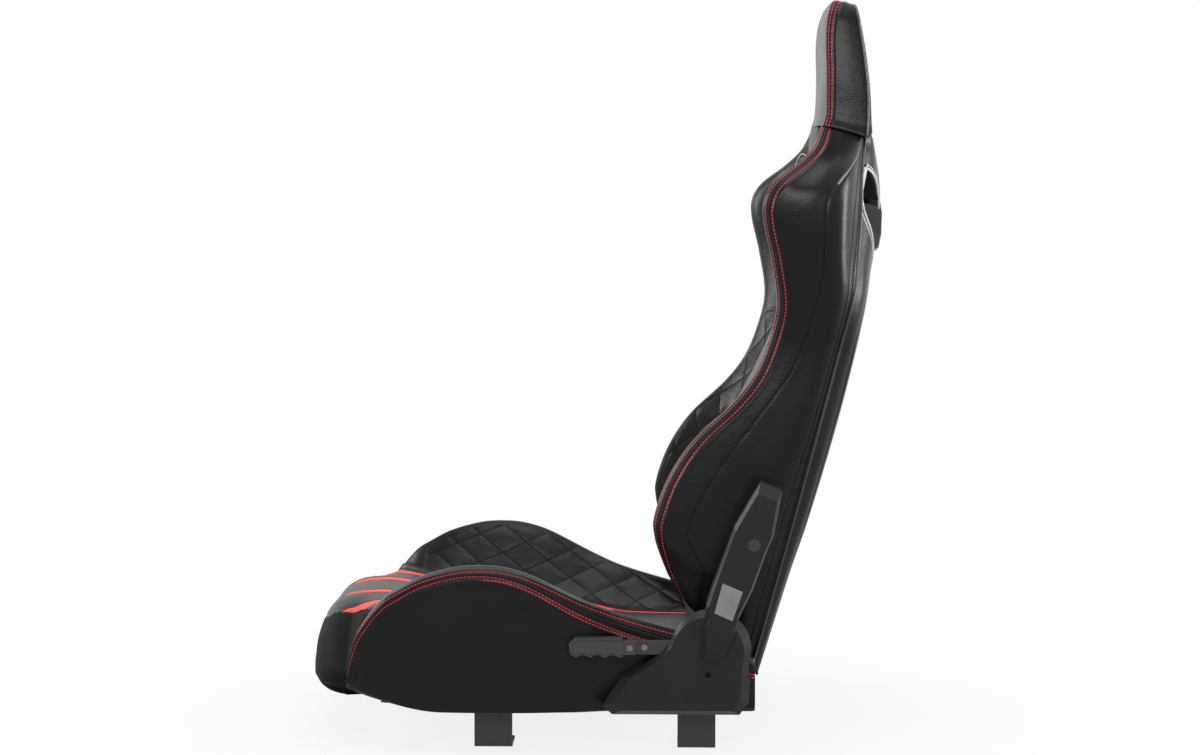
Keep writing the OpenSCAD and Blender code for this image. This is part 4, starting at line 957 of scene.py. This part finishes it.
def cut(obj, first, last):
    """Takes the prism between two outlines of the row frame out of an object's mesh."""
    n = len(first)
    faces = [(i, (i + 1) % n, n + (i + 1) % n, n + i) for i in range(n)]
    faces += [tuple(range(n - 1, -1, -1)), tuple(range(n, 2 * n))]
    cutter = mesh_object("cutter", np.concatenate([first, last]), faces, BEZEL)
    shape = bmesh.new()
    shape.from_mesh(cutter.data)
    bmesh.ops.recalc_face_normals(shape, faces=shape.faces)
    shape.to_mesh(cutter.data)
    shape.free()
    mod = obj.modifiers.new("cut", "BOOLEAN")
    mod.operation = "DIFFERENCE"
    mod.solver = "MANIFOLD"
    mod.object = cutter
    graph = bpy.context.evaluated_depsgraph_get()
    mesh = bpy.data.meshes.new_from_object(obj.evaluated_get(graph))
    obj.modifiers.clear()
    obj.data = mesh
    bpy.data.objects.remove(cutter)


def cut_holes(obj):
    """Cuts both harness holes through an object of the backrest."""
    for sign in (1, -1):
        ends = [place_back(np.array([(sign * x, y, s) for x, s in hole_outline(HOLE_GAP)]))
                for y in (-HOLE_REACH, HOLE_REACH)]
        cut(obj, *ends)


def surface_tree(names):
    """Search tree over the surfaces of the named objects."""
    verts, faces = [], []
    for name in names:
        mesh = bpy.data.objects[name].data
        first = len(verts)
        verts += [v.co.copy() for v in mesh.vertices]
        faces += [tuple(first + i for i in p.vertices) for p in mesh.polygons]
    return BVHTree.FromPolygons(verts, faces)


to_row = Matrix.Translation((0, PIVOT_Y * MM, (BASE_Z + PIVOT_H) * MM)) @ Matrix.Rotation(
    -LEAN, 4, "X")
OUTSIDE = 250


def on_surface(tree, x, s, front, lift):
    """The point of the tree's surface seen along the backrest's depth at (x, s), in local mm."""
    start = to_row @ Vector((x * MM, (-OUTSIDE if front else OUTSIDE) * MM, s * MM))
    way = to_row.to_3x3() @ Vector((0, 1 if front else -1, 0))
    hit = tree.ray_cast(start, way)[0]
    if hit is None:
        return None
    local = to_row.inverted() @ hit
    return np.array([x, local.y / MM + (-lift if front else lift), s])


skins = [f"back_bolster_skin_{tag}" for tag, mirror in SIDES] + ["back_pad_skin"]
front_tree, rear_tree = surface_tree(skins), surface_tree(["back_panel_skin"])
for tag, sign in (("left", 1), ("right", -1)):
    for front, tree in ((True, front_tree), (False, rear_tree)):
        for grow, radius in RIMS:
            line = [on_surface(tree, sign * x, s, front, -RIM_SINK)
                    for x, s in hole_outline(grow)]
            line = np.array([q for q in line if q is not None])
            for _ in range(RIM_ROUNDS):
                line[:, 1] = (np.roll(line[:, 1], 1) + 2 * line[:, 1] + np.roll(line[:, 1], -1)) / 4
            end = "front" if front else "rear"
            rim = tube(f"hole_rim_{end}_{int(grow)}_{tag}", line, radius, place_back, RIM,
                       closed=True)
            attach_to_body(rim, "backrest")
for name in skins + ["back_panel_skin"]:
    cut_holes(bpy.data.objects[name])

# The backrest's lower end sweeps between the cushion's rear corners, in a round hollow
CORNER_X, CREASE_R = 214, 38
turn_from = math.acos((GAP_Y - PIVOT_Y) / CREASE_R)
arc = np.linspace(turn_from, 2 * math.pi - turn_from, 40)
sweep = [(PIVOT_Y + CREASE_R * math.cos(a), PIVOT_H + CREASE_R * math.sin(a)) for a in arc]
sweep += [(GAP_Y, -5), (CUSHION_END + 100, -5), (CUSHION_END + 100, SIDE_H), (GAP_Y, SIDE_H)]
for tag, mirror in SIDES:
    ends = [place_base(np.array([(x, y, z) for y, z in sweep])) for x in (-CORNER_X, CORNER_X)]
    cut(bpy.data.objects[f"cushion_bolster_skin_{tag}"], *ends)

# ---- carried-over CAD pieces ----

PLASTIC_NODES = ("lower_cover", "arm_cover_left", "arm_cover_right")
ZINC_NODES = ("seat_springs", "back_springs", "foot_bolts", "plate_spacers", "plate_bolts",
              "arm_spacers", "arm_bolts", "return_spring", "sync_rod",
              "recliner_disc", "recliner_ring")
for name, obj in nodes.items():
    material = COATED
    if name.startswith(PLASTIC_NODES):
        material = PLASTIC
    elif name == "lever_grip":
        material = GRIP
    elif name == "lever_screws":
        material = DARK_METAL
    elif name == "cover_screws":
        material = HOLE_BLACK
    elif name.startswith(ZINC_NODES):
        material = ZINC
    elif name.startswith("inlay"):
        material = INLAY
    elif name.startswith(("harness_trim", "screw_cap")):
        material = BEZEL
    elif name == "dust_cover":
        material = CLOTH
    for slot in obj.material_slots:
        slot.material = material

# ---- floor, light and camera ----

CAMERA_AT = Vector((3.5, 0.0978, 0.7275))
CAMERA_AIM = Vector((-0.99704, -0.0275, -0.0719))
CAMERA_RIGHT = Vector((-0.0276, 0.9996, 0))
CAMERA_LENS, CAMERA_SENSOR = 75.93, 36

FLOOR_R, FLOOR_SIDES = 1.05, 96
FLOOR_GREY, FLOOR_ROUGH = 0.54, 0.9
# The floor shows less of its shadow the further it is from the middle: distance, share of white
GLOW_NEAR, GLOW_FAR = (0.3, 0.84), (1.0, 1.0)
AMBIENT = 0.42


def background_rays(tree):
    """1 for the rays that see a plain white background: camera, transmission and glossy."""
    path = tree.nodes.new("ShaderNodeLightPath")
    value = path.outputs["Is Camera Ray"]
    for kind in ("Is Transmission Ray", "Is Glossy Ray"):
        either = tree.nodes.new("ShaderNodeMath")
        either.operation = "MAXIMUM"
        tree.links.new(value, either.inputs[0])
        tree.links.new(path.outputs[kind], either.inputs[1])
        value = either.outputs["Value"]
    return value


def floor_material():
    n = Nodes("pale_floor")
    n.shader.inputs["Base Color"].default_value = (FLOOR_GREY, FLOOR_GREY, FLOOR_GREY, 1)
    n.shader.inputs["Roughness"].default_value = FLOOR_ROUGH
    glow = n.add("ShaderNodeEmission", Strength=1.0)
    reach = n.add("ShaderNodeVectorMath")
    reach.operation = "LENGTH"
    n.link(n.where, reach.inputs[0])
    far = n.add("ShaderNodeMapRange")
    far.interpolation_type = "SMOOTHSTEP"
    for end, (distance, share) in (("Min", GLOW_NEAR), ("Max", GLOW_FAR)):
        far.inputs["From " + end].default_value = distance
        far.inputs["To " + end].default_value = share
    n.link(reach.outputs["Value"], far.inputs["Value"])
    part = n.add("ShaderNodeMath")
    part.operation = "MULTIPLY"
    n.link(background_rays(n.tree), part.inputs[0])
    n.link(far.outputs["Result"], part.inputs[1])
    mix = n.add("ShaderNodeMixShader")
    n.link(part.outputs["Value"], mix.inputs["Fac"])
    n.link(n.shader.outputs["BSDF"], mix.inputs[1])
    n.link(glow.outputs["Emission"], mix.inputs[2])
    n.link(mix.outputs["Shader"], n.tree.nodes["Material Output"].inputs["Surface"])
    return n.material


around = [2 * math.pi * i / FLOOR_SIDES for i in range(FLOOR_SIDES)]
floor_mesh = bpy.data.meshes.new("floor")
floor_mesh.from_pydata([(FLOOR_R * math.cos(a), FLOOR_R * math.sin(a), 0) for a in around], [],
                       [tuple(range(FLOOR_SIDES))])
floor = bpy.data.objects.new("floor", floor_mesh)
bpy.context.scene.collection.objects.link(floor)
floor.data.materials.append(floor_material())

# The world is white to the background rays, and lights the seat with AMBIENT
world = bpy.data.worlds.new("studio")
bpy.context.scene.world = world
world.use_nodes = True
sky = world.node_tree.nodes["Background"]
sky.inputs["Color"].default_value = (1, 1, 1, 1)
strength = world.node_tree.nodes.new("ShaderNodeMix")
strength.inputs["A"].default_value = AMBIENT
strength.inputs["B"].default_value = 1.0
world.node_tree.links.new(background_rays(world.node_tree), strength.inputs["Factor"])
world.node_tree.links.new(strength.outputs["Result"], sky.inputs["Strength"])


def lamp(name, at, aim, size, power):
    """A rectangular lamp at a place, turned towards aim."""
    data = bpy.data.lights.new(name, "AREA")
    data.energy = power
    data.shape = "RECTANGLE"
    data.size, data.size_y = size
    obj = bpy.data.objects.new(name, data)
    bpy.context.scene.collection.objects.link(obj)
    obj.location = at
    obj.rotation_euler = (Vector(aim) - Vector(at)).to_track_quat("-Z", "Y").to_euler()


lamp("top", (0.6, 0.0, 3.0), (0.2, 0, 0.4), (2.0, 2.4), 52)
lamp("key", (3.2, 0.3, 1.7), (0, 0.2, 0.8), (2.0, 0.8), 56)
lamp("rear_strip", (-0.2, 2.9, 1.2), (0, 0.3, 0.7), (0.7, 2.0), 95)
lamp("front_strip", (-0.6, -2.8, 1.5), (0, 0, 0.7), (1.4, 1.4), 66)

camera_data = bpy.data.cameras.new("camera")
camera_data.lens = CAMERA_LENS
camera_data.sensor_width = CAMERA_SENSOR
camera = bpy.data.objects.new("camera", camera_data)
bpy.context.scene.collection.objects.link(camera)
bpy.context.scene.camera = camera
up = CAMERA_RIGHT.cross(CAMERA_AIM).normalized()
turn = Matrix((CAMERA_RIGHT.normalized(), up, -CAMERA_AIM.normalized())).transposed()
camera.matrix_world = Matrix.Translation(CAMERA_AT) @ turn.to_4x4()
bpy.context.scene.view_settings.view_transform = "Standard"
